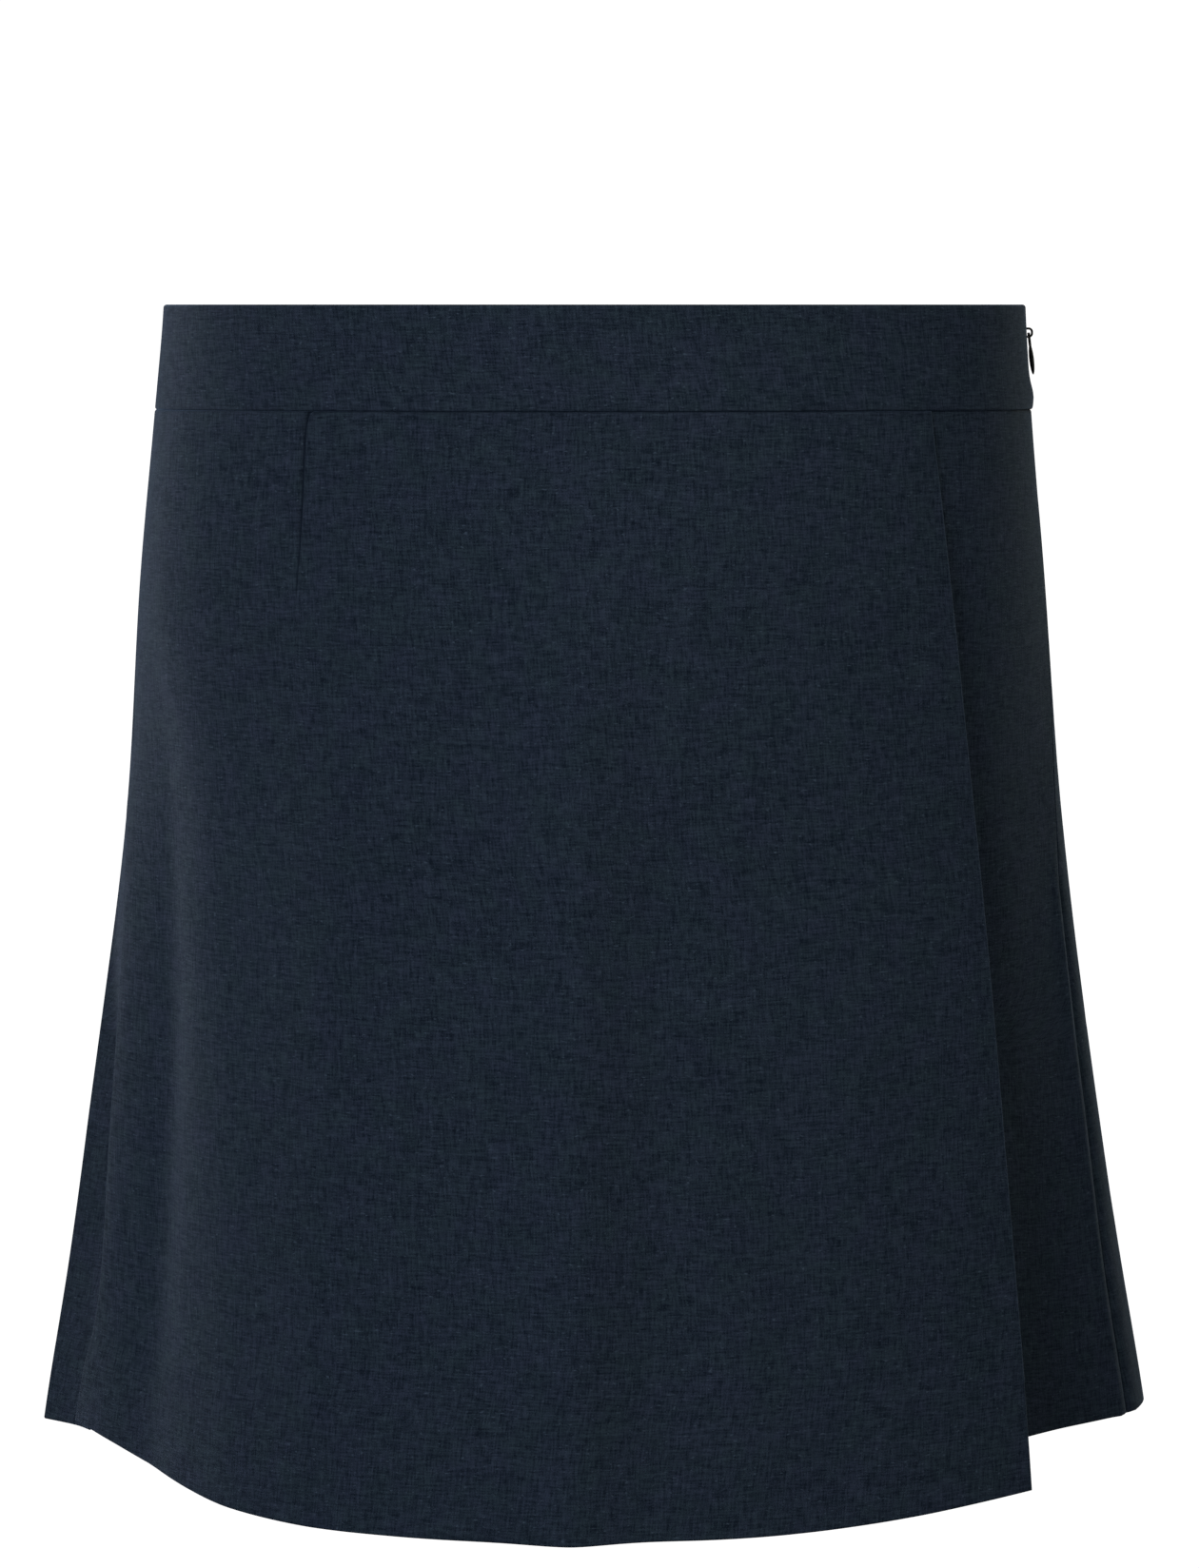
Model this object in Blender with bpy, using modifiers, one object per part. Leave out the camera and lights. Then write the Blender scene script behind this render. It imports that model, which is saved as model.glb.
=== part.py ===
"""A wrap-front skort, as worn: wide-leg shorts under a free-hanging front panel.

Units are metres, +Z is up and -Y is the front. The wearer's left is +X, where the zip is.
The origin is the centre of the waist opening, at half the waistband's height.
A "drop" is a height below the waistband's top edge. Every panel is a wall of cloth whose
sections come from one table of the worn form, and it is inset from that form where it
lies under another layer.
"""

import math
from collections import namedtuple

import bmesh
import bpy
from mathutils import Matrix, Vector

# Driving sizes
ORIGIN_DROP = 0.019  # half the waistband's height
CLOTH = 0.0012  # one layer of suiting
BAND_CLOTH = 0.0027  # the faced waistband, as thick as the two layers that it holds
SEAM_GAP = 0.0003
WAIST_SEAM_SIDE = 0.0380
WAIST_SEAM_RISE = 0.0012  # the waist seam is this much higher at the centre front
SHORTS_HEM = {1: 0.4052, -1: 0.4063}  # on the wearer's left and right
SHORTS_HEM_RISE = 0.0022  # the shorts' hem is this much higher at the front,
SHORTS_HEM_RISE_BY = 0.35  # from this share of the way from the side seam to the centre
HEM_TURN = 0.036  # height of the turned-up hem
HEM_STEP = 0.0015  # height over which the wall thickens to the hem
HEM_EXTRA = 0.0011  # what the turned-up layer adds to the wall
HEM_ROWS = (HEM_TURN + HEM_STEP, HEM_TURN, HEM_TURN / 2, 0.0)  # above the hem's edge
CROTCH_START = 0.160  # where the centre seams begin to curve inwards
CROTCH = 0.265  # the rise: the lowest point of the centre seams
LEG_FORMED = 0.370  # down to here the form still rounds off into two legs
LEG_FULLNESS = 0.45  # how squarely a leg is rounded off inside: 1 is an ellipse
LEG_FOLD = 0.72  # share of the way to the centre at which the fold into the crotch begins
INSEAM_SPREAD = 0.0065  # half the space between the legs at the hem
INSEAM_POWER = 0.8
UNDER_WAIST = 0.0018  # the shorts' front lies this far inside the form at the waist
UNDER_HEM = 0.0120  # and this far at the hem
UNDER_BY = 0.20  # from this share of the way from the side seam to the centre
UNDER_POWER = 1.3  # how late, on the way down, it draws away from the wrap panel
SLIT_DROP = 0.183  # the wrap panel is sewn to the side seam down to here
LIFT_WIDTH = 0.055  # how far in from the side the wrap panel's free edge stands off the leg
LEFT_SWING = 0.003  # how far forward that edge hangs
LEFT_SWING_BY = 0.140  # at this far below the end of the seam
LEFT_SWING_WIDTH = 0.020  # how far in from it the swing begins

# The worn form. point is how pointed the sides are: 1 is an ellipse.
Form = namedtuple("Form", "drop half_width front_depth back_depth point centre_x")
FORM = [
    Form(0.000, 0.1566, 0.1000, 0.1050, 1.10, -0.0006),
    Form(0.038, 0.1596, 0.1040, 0.1090, 1.12, -0.0011),
    Form(0.100, 0.1653, 0.1115, 0.1185, 1.17, -0.0014),
    Form(0.167, 0.1700, 0.1185, 0.1265, 1.22, -0.0009),
    Form(0.200, 0.1732, 0.1220, 0.1290, 1.24, -0.0007),
    Form(0.240, 0.1779, 0.1270, 0.1315, 1.27, -0.0004),
    Form(0.290, 0.1845, 0.1345, 0.1345, 1.32, 0.0001),
    Form(0.345, 0.1927, 0.1435, 0.1378, 1.37, 0.0005),
    Form(0.406, 0.2030, 0.1540, 0.1412, 1.41, 0.0007),
    Form(0.425, 0.2063, 0.1570, 0.1422, 1.42, 0.0008),
]

# How far in front of the silhouette the side seams and the wrap panel's left edge run,
# and how far that edge stands off the leg once it is free of the seam.
Side = namedtuple("Side", "drop left_seam right_seam wrap_edge wrap_lift")
SIDES = [
    Side(0.000, 0.0000, 0.0000, 0.0000, 0.0000),
    Side(0.070, 0.0000, 0.0000, 0.0000, 0.0000),
    Side(0.105, 0.0003, 0.0002, 0.0002, 0.0000),
    Side(0.135, 0.0010, 0.0007, 0.0007, 0.0000),
    Side(0.160, 0.0020, 0.0014, 0.0014, 0.0000),
    Side(0.183, 0.0033, 0.0024, 0.0024, 0.0015),
    Side(0.205, 0.0038, 0.0060, 0.0048, 0.0020),
    Side(0.250, 0.0041, 0.0104, 0.0078, 0.0020),
    Side(0.303, 0.0046, 0.0138, 0.0109, 0.0020),
    Side(0.356, 0.0060, 0.0186, 0.0156, 0.0024),
    Side(0.371, 0.0063, 0.0190, 0.0160, 0.0030),
    Side(0.383, 0.0064, 0.0182, 0.0152, 0.0034),
    Side(0.425, 0.0067, 0.0182, 0.0150, 0.0034),
]

# The wrap panel's free right edge, and its hem, by how far each lies from the centre. swing is
# how far the edge hangs out in front of the form.
WrapEdge = namedtuple("WrapEdge", "drop x swing")
WRAP_EDGE = [
    WrapEdge(0.038, 0.1180, 0.0000),
    WrapEdge(0.060, 0.1206, 0.0006),
    WrapEdge(0.080, 0.1229, 0.0020),
    WrapEdge(0.125, 0.1278, 0.0056),
    WrapEdge(0.219, 0.1375, 0.0115),
    WrapEdge(0.325, 0.1465, 0.0160),
    WrapEdge(0.422, 0.1536, 0.0190),
]
SWING_WIDTH = 0.085  # how far in from the edge the swing begins
SWING_POWER = 1.6
WrapHem = namedtuple("WrapHem", "x drop")
WRAP_HEM = [
    WrapHem(-0.190, 0.4030),
    WrapHem(-0.176, 0.4066),
    WrapHem(-0.160, 0.4116),
    WrapHem(-0.129, 0.4184),
    WrapHem(-0.070, 0.4205),
    WrapHem(0.000, 0.4196),
    WrapHem(0.070, 0.4197),
    WrapHem(0.110, 0.4174),
    WrapHem(0.160, 0.4133),
]

# The wrap panel's dart, and its soft folds: where each begins, ends and how high it stands.
DART_X = -0.1018
DART_END = 0.100
DART_DEPTH = 0.0006
DART_HALF = 0.0016
DART_SPREAD = 0.6  # how much of the form's widening the dart follows
FOLD_POWER = 0.8  # how bluntly a fold begins and ends
FOLD_CLEAR = 0.006  # how far in from the side, in X, the folds are whole
Fold = namedtuple("Fold", "top_drop top_x end_drop end_x half_width height")
FOLDS = [
    Fold(0.110, -0.1520, 0.470, -0.1630, 0.010, -0.0045),
    Fold(0.090, -0.0850, 0.500, -0.1040, 0.028, 0.0046),
    Fold(0.085, 0.0000, 0.520, -0.0100, 0.018, 0.0086),
    Fold(0.165, 0.0240, 0.300, 0.0220, 0.012, -0.0012),
    Fold(0.190, 0.0850, 0.460, 0.1000, 0.022, 0.0012),
]

# The zip in the left side seam
ZIP_AXIS_DROP = 0.0105  # the pull tab's crossbar
ZIP_END = 0.158
ZIP_TAPE = 0.0008
ZIP_OPEN_HALF = 0.0008  # half the slot that the slider's bridge stands in
ZIP_OPEN_END = 0.014
ZIP_CLOSED = 0.026
BODY_HALF = Vector((0.0010, 0.0030, 0.0045))  # half the slider body's size
BODY_ROUNDING = 0.0005
BODY_BEHIND = 0.0041  # the slider body's middle, behind the cloth's outer side
AXIS_OUT = 0.0008  # the pull tab's crossbar, in front of the cloth's outer side
BRIDGE_WIRE = 0.00042
BRIDGE_BEND = 0.00120
BRIDGE_STRAIGHT = 0.0006
BRIDGE_SEGMENTS = 5
TAB_LENGTH = 0.0151
TAB_HALF_WIDTH = 0.0017
TAB_HALF = 0.00038
TAB_EYE = 0.0030
TAB_EYE_HALF = 0.00085
TAB_NECK = 0.0016  # how far the eye's frame runs on below the eye, into the bulb
TAB_BULB_HALF = Vector((0.0009, 0.0023, 0.0056))
TAB_CROWN_SEGMENTS = 8
TAB_TILT = math.radians(7.0)


def smooth_row(table, key, value):
    """The table's row at value, on smooth curves through its rows."""
    spots = [getattr(row, key) for row in table]
    low = max(0, min(len(table) - 2, sum(spot <= value for spot in spots) - 1))
    step = spots[low + 1] - spots[low]
    t = min(1.0, max(0.0, (value - spots[low]) / step))
    rows = [table[max(0, low - 1)], table[low], table[low + 1], table[min(len(table) - 1, low + 2)]]
    made = []
    for before, a, b, after in zip(*rows):
        before_step = max(spots[low] - getattr(rows[0], key), step * 0.5)
        after_step = max(getattr(rows[3], key) - spots[low + 1], step * 0.5)
        slope_a = (b - before) / (step + before_step) * step
        slope_b = (after - a) / (step + after_step) * step
        cube, square = t**3, t**2
        made.append(
            (2 * cube - 3 * square + 1) * a
            + (cube - 2 * square + t) * slope_a
            + (3 * square - 2 * cube) * b
            + (cube - square) * slope_b
        )
    return type(rows[1])(*made)


def ease(t):
    """0 below 0, 1 above 1, and a smooth step between."""
    t = min(1.0, max(0.0, t))
    return t * t * (3 - 2 * t)


def form_at(drop):
    return smooth_row(FORM, "drop", drop)


def height(drop):
    return ORIGIN_DROP - drop


# Sections of the worn form


def ring_point(form, angle, inset):
    """A point of the form's ring. Angle 0 is the wearer's left side, and a quarter turn the front."""
    depth = form.front_depth if angle > 0 else form.back_depth
    x = (form.half_width - inset) * math.cos(angle)
    y = -(depth - inset) * math.copysign(abs(math.sin(angle)) ** form.point, angle)
    return x, y


def leg_gap(drop):
    return INSEAM_SPREAD * max(0.0, (drop - CROTCH) / (SHORTS_HEM[1] - CROTCH)) ** INSEAM_POWER


def quarter_point(form, seam, front, leg, u, inset):
    """A point of one quarter of the section, at share u of the way from side seam to centre seam.

    Where leg is 0 the quarter is the form's, and where it is 1 it is half of a leg: the form's
    outside, which rounds off to the inseam. seam is how far the side seam lies inside the
    silhouette.
    """
    gap = leg_gap(form.drop)
    leg_half = (form.half_width - gap) / 2
    ring_start = math.acos(1 - max(0.0, seam) / form.half_width)
    leg_start = math.acos(1 - max(0.0, seam) / leg_half)
    facing = 1 if front else -1
    ring_angle = ring_start + (facing * math.pi / 2 - ring_start) * u
    leg_angle = leg_start + (facing * math.pi - leg_start) * u
    half_width = form.half_width - inset
    ring_x = half_width * math.cos(ring_angle)
    leg_x = leg_half + gap + (leg_half - inset) * math.cos(leg_angle)
    x = ring_x + (leg_x - ring_x) * leg
    angle = math.copysign(math.acos(min(1.0, x / half_width)), ring_angle)
    y = ring_point(form, angle, inset)[1]
    if abs(leg_angle) > math.pi / 2:
        y *= 1 - leg * (1 - abs(math.sin(leg_angle)) ** LEG_FULLNESS)
    return x, y


# Rows of the shorts' panels, from the waist seam to the hem. Each gives the drop, and how much
# of a leg the section is at the centre seam, inset inside the panel's outer side.


def level_row(drop, leg=0.0):
    return lambda hem, inset: (drop, leg)


def crotch_row(turn):
    """A row along the curve of the centre seams, which is a quarter of an ellipse."""
    return lambda hem, inset: (
        CROTCH_START + (CROTCH - CROTCH_START - inset) * math.sin(turn),
        1 - math.cos(turn),
    )


def hem_row(above):
    return lambda hem, inset: (hem - above, 1.0)


UPPER_ROWS = (0.070, 0.088, 0.105, 0.135, CROTCH_START)
CROTCH_ROWS = 6
SLIT_TURN = math.asin((SLIT_DROP - CROTCH_START) / (CROTCH - CROTCH_START))
CROTCH_TURNS = [
    SLIT_TURN + (math.pi / 2 - SLIT_TURN) * n / (CROTCH_ROWS - 1) for n in range(CROTCH_ROWS)
]
SHORTS_ROWS = (
    [level_row(drop) for drop in (WAIST_SEAM_SIDE, *UPPER_ROWS)]
    + [crotch_row(turn) for turn in CROTCH_TURNS]
    + [level_row(drop, leg=1.0) for drop in (0.295, 0.330)]
    + [hem_row(above) for above in HEM_ROWS]
)


def shares(first, count):
    """Columns from a seam at 0 to the next seam at 1: the first few as given, then evenly."""
    left = count - len(first)
    return first + [first[-1] + (1 - first[-1]) * (n + 1) / left for n in range(left)]


# The zip tape's edge follows a column of the panels and of the waistband.
ZIP_COLUMN = 0.0875
SHORTS_SHARES = shares([0.0, ZIP_COLUMN / 2, ZIP_COLUMN], 17)
BAND_SHARES = shares([0.0, ZIP_COLUMN / 4, ZIP_COLUMN / 2], 30)


def waist_seam(y):
    return WAIST_SEAM_SIDE - WAIST_SEAM_RISE * max(0.0, -y) / FORM[1].front_depth


def hem_thickness(row, rows):
    """What the wall is thicker by: all of the hem's rows but the top one lie on the turned-up cloth."""
    return HEM_EXTRA if row > rows - len(HEM_ROWS) else 0.0


def under_wrap(side, drop, u):
    """How far the shorts' front lies inside the form, at u from the side seam to the centre."""
    down = (drop - WAIST_SEAM_SIDE) / (SHORTS_HEM[side] - WAIST_SEAM_SIDE)
    full = UNDER_WAIST + (UNDER_HEM - UNDER_WAIST) * max(0.0, down) ** UNDER_POWER
    at_seam = 0.0 if side > 0 else UNDER_WAIST
    settled = 1 - (1 - min(1.0, u / UNDER_BY)) ** 2
    return at_seam + (full - at_seam) * settled


def shorts_section(side, front, drop, centre_leg, u, inset):
    """A point of a shorts panel at a drop. side is 1 on the wearer's left and -1 on the right.

    Over most of the panel the legs form slowly, over the height down to LEG_FORMED. At the
    centre seam the section is as much of a leg as centre_leg says.
    """
    form = form_at(drop)
    sides = smooth_row(SIDES, "drop", drop)
    side_leg = ease((drop - CROTCH_START) / (LEG_FORMED - CROTCH_START))
    leg = side_leg + (centre_leg - side_leg) * ease((u - LEG_FOLD) / (1 - LEG_FOLD))
    if front:
        inset += under_wrap(side, drop, u)
    seam = sides.left_seam if side > 0 else sides.right_seam
    x, y = quarter_point(form, seam, front, leg, u, inset)
    x = max(x, SEAM_GAP / 2)
    if u == 1.0:
        y = math.copysign(max(abs(y), SEAM_GAP / 2), -1 if front else 1)
    return Vector((side * x + form.centre_x, y, height(drop)))


def shorts_point(side, front, row, u, wall):
    """A point of a shorts panel's wall, which is 0 outside and 1 inside."""
    inset = wall * (CLOTH + hem_thickness(row, len(SHORTS_ROWS)))
    hem = SHORTS_HEM[side] - (SHORTS_HEM_RISE * ease(u / SHORTS_HEM_RISE_BY) if front else 0.0)
    drop, centre_leg = SHORTS_ROWS[row](hem, inset)
    point = shorts_section(side, front, drop, centre_leg, u, inset)
    if row == 0:
        point.z = height(waist_seam(point.y) + SEAM_GAP)
    return point


def zip_slot(drop):
    """Half the space between the cloth's edges at the zip."""
    shut = ease((drop - ZIP_OPEN_END) / (ZIP_CLOSED - ZIP_OPEN_END))
    return ZIP_OPEN_HALF + (SEAM_GAP / 2 - ZIP_OPEN_HALF) * shut


def pulled_back(point_at, edge, inner, gap):
    """The point at an edge, moved towards the point at inner to leave room for the seam."""
    point = point_at(edge)
    return point + (point_at(inner) - point).normalized() * gap


def shorts_panel_point(side, front, row, u, wall):
    def point_at(share):
        return shorts_point(side, front, row, share, wall)

    if u > 0.0:
        return point_at(u)
    slot = zip_slot(ORIGIN_DROP - point_at(0.0).z) if side > 0 else SEAM_GAP / 2
    return pulled_back(point_at, 0.0, SHORTS_SHARES[1], slot)


# The wrap panel

WRAP_ROWS = [WAIST_SEAM_SIDE, *UPPER_ROWS, SLIT_DROP, 0.205, 0.235, 0.270, 0.305, 0.340]
WRAP_ROW_COUNT = len(WRAP_ROWS) + len(HEM_ROWS)
WRAP_LEFT_COLUMNS = 8  # columns from the left edge to the dart
WRAP_RIGHT_COLUMNS = 20
WRAP_COLUMNS = WRAP_LEFT_COLUMNS + WRAP_RIGHT_COLUMNS + 2


def wrap_angle(form, sides, drop, column):
    """The ring angle of a column. One follows the dart, with one close on each side of it."""
    right_x = smooth_row(WRAP_EDGE, "drop", drop).x - form.centre_x
    right = math.acos(right_x / form.half_width)
    left = math.pi - math.acos(1 - max(0.0, sides.wrap_edge) / form.half_width)
    spread = form.half_width / FORM[1].half_width
    dart_x = DART_X * (1 + DART_SPREAD * (spread - 1)) - form.centre_x
    dart = math.acos(dart_x / form.half_width)
    beside = DART_HALF / form.front_depth
    if column < WRAP_LEFT_COLUMNS:
        share = column / (WRAP_LEFT_COLUMNS - 1)
        return left + (dart + beside - left) * share
    if column == WRAP_LEFT_COLUMNS:
        return dart
    share = (column - WRAP_LEFT_COLUMNS - 1) / WRAP_RIGHT_COLUMNS
    return dart - beside + (right - dart + beside) * share


def fold_height(x, drop):
    """How far the wrap panel's soft folds stand out of the form."""
    total = 0.0
    for fold in FOLDS:
        along = (drop - fold.top_drop) / (fold.end_drop - fold.top_drop)
        if 0 < along < 1:
            middle = fold.top_x + (fold.end_x - fold.top_x) * along
            across = (x - middle) / fold.half_width
            rise = math.sin(math.pi * along) ** FOLD_POWER
            total += fold.height * rise * math.exp(-across * across)
    return total


def wrap_section(row, column):
    """The drop, form, sides and ring angle of a point. The hem's drop follows from where it lies."""
    above_hem = HEM_ROWS[row - len(WRAP_ROWS)] if row >= len(WRAP_ROWS) else None
    drop = WRAP_ROWS[row] if above_hem is None else WRAP_HEM[-1].drop - above_hem
    for _ in range(3):
        form = form_at(drop)
        sides = smooth_row(SIDES, "drop", drop)
        angle = wrap_angle(form, sides, drop, column)
        if above_hem is not None:
            x = ring_point(form, angle, 0.0)[0]
            drop = smooth_row(WRAP_HEM, "x", x).drop - above_hem
    return drop, form, sides, angle


def wrap_point(row, column, wall):
    drop, form, sides, angle = wrap_section(row, column)
    x = ring_point(form, angle, 0.0)[0]
    from_edge = x + form.half_width - sides.wrap_edge
    lift = fold_height(x, drop) * ease(from_edge / FOLD_CLEAR)
    lift += sides.wrap_lift * ease(1 - (x + form.half_width) / LIFT_WIDTH)
    if column == WRAP_LEFT_COLUMNS and drop < DART_END:
        lift -= DART_DEPTH
    inset = wall * (CLOTH + hem_thickness(row, WRAP_ROW_COUNT))
    x, y = ring_point(form, angle, inset - lift)
    edge = smooth_row(WRAP_EDGE, "drop", drop)
    y -= edge.swing * max(0.0, 1 - (edge.x - x) / SWING_WIDTH) ** SWING_POWER
    y -= (
        LEFT_SWING
        * ease((drop - SLIT_DROP) / LEFT_SWING_BY)
        * max(0.0, 1 - from_edge / LEFT_SWING_WIDTH) ** SWING_POWER
    )
    if row == 0:
        drop = waist_seam(y) + SEAM_GAP
    return Vector((x + form.centre_x, y, height(drop)))


def wrap_panel_point(row, column, wall):
    def point_at(spot):
        return wrap_point(row, spot, wall)

    if column > 0:
        return point_at(column)
    return pulled_back(point_at, 0, 1, SEAM_GAP / 2)


# The waistband

BAND_ROWS = (0.0, 0.0012, 0.012, 0.026, WAIST_SEAM_SIDE)
BAND_ROUNDING = 0.0007
BAND_BULGE = 0.0012  # where the seam allowances are thick, below the zip's pull tab
BAND_BULGE_DROP = 0.033
BAND_BULGE_HALF = 0.005
BAND_BULGE_ANGLE = 0.12


def band_point(front, row, u, wall):
    angle = (math.pi if front else -math.pi) * u
    drop = BAND_ROWS[row]
    form = form_at(drop)
    rounding = BAND_ROUNDING if row == 0 else 0.0
    inset = rounding + wall * (BAND_CLOTH - 2 * rounding)
    across = angle / BAND_BULGE_ANGLE
    down = (drop - BAND_BULGE_DROP) / BAND_BULGE_HALF
    bulge = BAND_BULGE * math.exp(-across * across - down * down)
    x, y = ring_point(form, angle, inset - bulge)
    if drop == WAIST_SEAM_SIDE:
        drop = waist_seam(y)
    return Vector((x + form.centre_x, y, height(drop)))


def band_panel_point(front, row, u, wall):
    """A point of the waistband. u is 0 at the zip and 1 at the side seam on the wearer's right."""

    def point_at(share):
        return band_point(front, row, share, wall)

    if u == 0.0:
        return pulled_back(point_at, 0.0, BAND_SHARES[1], zip_slot(BAND_ROWS[row]))
    if u == 1.0:
        return pulled_back(point_at, 1.0, BAND_SHARES[-2], SEAM_GAP / 2)
    return point_at(u)


# The zip tape

TAPE_TOP = ZIP_AXIS_DROP + BODY_HALF.z + SEAM_GAP
TAPE_STEP = (WAIST_SEAM_SIDE + 0.001, WAIST_SEAM_SIDE + 0.008)  # from behind the band to the panels
TAPE_DROPS = (TAPE_TOP, 0.026, *TAPE_STEP, 0.070, 0.105, 0.135, ZIP_END)
TAPE_MIDDLE = 0.01
TAPE_SHARES = (-ZIP_COLUMN, -ZIP_COLUMN / 2, -TAPE_MIDDLE, TAPE_MIDDLE, ZIP_COLUMN / 2, ZIP_COLUMN)


def tape_point(row, column, wall):
    """A point of the tape, which follows the inner side of the band and of the panels."""
    drop = TAPE_DROPS[row]
    below_band = ease((drop - TAPE_STEP[0]) / (TAPE_STEP[1] - TAPE_STEP[0]))
    inset = BAND_CLOTH + (CLOTH - BAND_CLOTH) * below_band + SEAM_GAP + wall * ZIP_TAPE
    share = TAPE_SHARES[column]
    return shorts_section(1, share > 0, drop, 0.0, abs(share), inset)


# Making the solids

SHARP = math.radians(50)
TINY = 1e-6


def clear_scene():
    for old in list(bpy.data.objects):
        bpy.data.objects.remove(old)


def collection(name):
    made = bpy.data.collections.new(name)
    bpy.context.scene.collection.children.link(made)
    return made


def material(name, colour, roughness, metallic=0.0):
    made = bpy.data.materials.new(name)
    made.use_nodes = True
    shader = made.node_tree.nodes["Principled BSDF"]
    shader.inputs["Base Color"].default_value = (*colour, 1.0)
    shader.inputs["Roughness"].default_value = roughness
    shader.inputs["Metallic"].default_value = metallic
    return made


def add_object(name, mesh, finish, into):
    mesh.materials.append(finish)
    made = bpy.data.objects.new(name, mesh)
    into.objects.link(made)
    return made


def cloth_wall(name, columns, rows, point_at, finish, into):
    """A closed wall: a flat grid extruded once, with its points moved to point_at(row, column, wall)."""
    bm = bmesh.new()
    bmesh.ops.create_grid(bm, x_segments=columns - 1, y_segments=rows - 1, size=0.5)
    made = bmesh.ops.extrude_face_region(bm, geom=bm.faces[:], use_keep_orig=True)
    outer = {v for v in made["geom"] if isinstance(v, bmesh.types.BMVert)}
    for vertex in bm.verts:
        column = round((vertex.co.x + 0.5) * (columns - 1))
        row = round((vertex.co.y + 0.5) * (rows - 1))
        vertex.co = point_at(row, column, 0 if vertex in outer else 1)
    bmesh.ops.recalc_face_normals(bm, faces=bm.faces)
    if bm.calc_volume(signed=True) < 0:
        bmesh.ops.reverse_faces(bm, faces=bm.faces)
    mesh = bpy.data.meshes.new(name)
    bm.to_mesh(mesh)
    bm.free()
    mesh.shade_smooth()
    mesh.set_sharp_from_angle(angle=SHARP)
    return add_object(name, mesh, finish, into)


def make_shorts(finish, into):
    for side, side_name in ((1, "left"), (-1, "right")):
        for front, face_name in ((True, "front"), (False, "back")):

            def point_at(row, column, wall, side=side, front=front):
                return shorts_panel_point(side, front, row, SHORTS_SHARES[column], wall)

            name = f"shorts_{face_name}_{side_name}"
            cloth_wall(name, len(SHORTS_SHARES), len(SHORTS_ROWS), point_at, finish, into)


def make_waistband(finish, into):
    for front, name in ((True, "waistband_front"), (False, "waistband_back")):

        def point_at(row, column, wall, front=front):
            return band_panel_point(front, row, BAND_SHARES[column], wall)

        cloth_wall(name, len(BAND_SHARES), len(BAND_ROWS), point_at, finish, into)


def mesh_from_curve(curve, into):
    """The curve's closed mesh, with its caps welded on."""
    guide = bpy.data.objects.new(curve.name, curve)
    into.objects.link(guide)
    graph = bpy.context.evaluated_depsgraph_get()
    mesh = bpy.data.meshes.new_from_object(guide.evaluated_get(graph))
    bpy.data.objects.remove(guide)
    bm = bmesh.new()
    bm.from_mesh(mesh)
    bmesh.ops.remove_doubles(bm, verts=bm.verts, dist=TINY)
    bmesh.ops.recalc_face_normals(bm, faces=bm.faces)
    bm.to_mesh(mesh)
    bm.free()
    return mesh


def add_line(curve, points, closed):
    spline = curve.splines.new("POLY")
    spline.points.add(len(points) - 1)
    spline.use_cyclic_u = closed
    for spot, point in zip(spline.points, points):
        spot.co = (*point, 1.0)


def mesh_from_primitive(name, make, matrix, **sizes):
    """A mesh made by one of bmesh's primitive operators."""
    bm = bmesh.new()
    make(bm, matrix=matrix, **sizes)
    mesh = bpy.data.meshes.new(name)
    bm.to_mesh(mesh)
    bm.free()
    return mesh


def join_with(target, other):
    """A Boolean union of other into target. other is kept as a hidden cutter."""
    other.hide_render = True
    other.display_type = "WIRE"
    union = target.modifiers.new("join", "BOOLEAN")
    union.operation = "UNION"
    union.object = other


def tab_hinge():
    """The middle of the pull tab's crossbar, just outside the seam."""
    form = form_at(ZIP_AXIS_DROP)
    x = form.half_width + form.centre_x
    return Vector((x + AXIS_OUT, 0.0, height(ZIP_AXIS_DROP)))


def bridge_path():
    """The bridge's middle line round the hinge: out of the body, round and back in."""
    root = Vector((-AXIS_OUT - BODY_BEHIND, 0.0, 0.0))
    top = Vector((0.0, 0.0, BRIDGE_STRAIGHT))
    turns = [math.pi / 2 * n / BRIDGE_SEGMENTS for n in range(BRIDGE_SEGMENTS + 1)]
    upper = [Vector((math.sin(t), 0.0, math.cos(t))) * BRIDGE_BEND for t in turns]
    lower = [Vector((p.x, 0.0, -p.z)) for p in reversed(upper)]
    upper = [p + top for p in upper]
    return [upper[0] + root, *upper, *lower, lower[-1] + root]


def make_slider(finish, into, helpers):
    size = Matrix.Diagonal((*BODY_HALF, 1.0))
    mesh = mesh_from_primitive("zip_slider", bmesh.ops.create_cube, size, size=2.0)
    body = add_object("zip_slider", mesh, finish, into)
    body.location = tab_hinge() - Vector((AXIS_OUT + BODY_BEHIND, 0.0, 0.0))
    rounded = body.modifiers.new("rounded", "BEVEL")
    rounded.width = BODY_ROUNDING
    rounded.segments = 2
    curve = bpy.data.curves.new("bridge_wire", "CURVE")
    curve.dimensions = "3D"
    curve.bevel_depth = BRIDGE_WIRE
    curve.bevel_resolution = 2
    curve.use_fill_caps = True
    add_line(curve, bridge_path(), closed=False)
    bridge = add_object("bridge_wire", mesh_from_curve(curve, helpers), finish, helpers)
    bridge.location = tab_hinge()
    join_with(body, bridge)


def tab_outline():
    """The pull tab's eye frame, across and up from the hinge, and its hole."""
    low = -TAB_EYE - TAB_NECK
    crown = [math.pi * n / TAB_CROWN_SEGMENTS for n in range(TAB_CROWN_SEGMENTS + 1)]
    outer = [(TAB_HALF_WIDTH * math.cos(t), TAB_HALF * math.sin(t)) for t in crown]
    outer += [(-TAB_HALF_WIDTH, low), (TAB_HALF_WIDTH, low)]
    right, top, bottom = TAB_EYE_HALF, -TAB_HALF, -TAB_EYE
    return outer, [(-right, top), (right, top), (right, bottom), (-right, bottom)]


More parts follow.
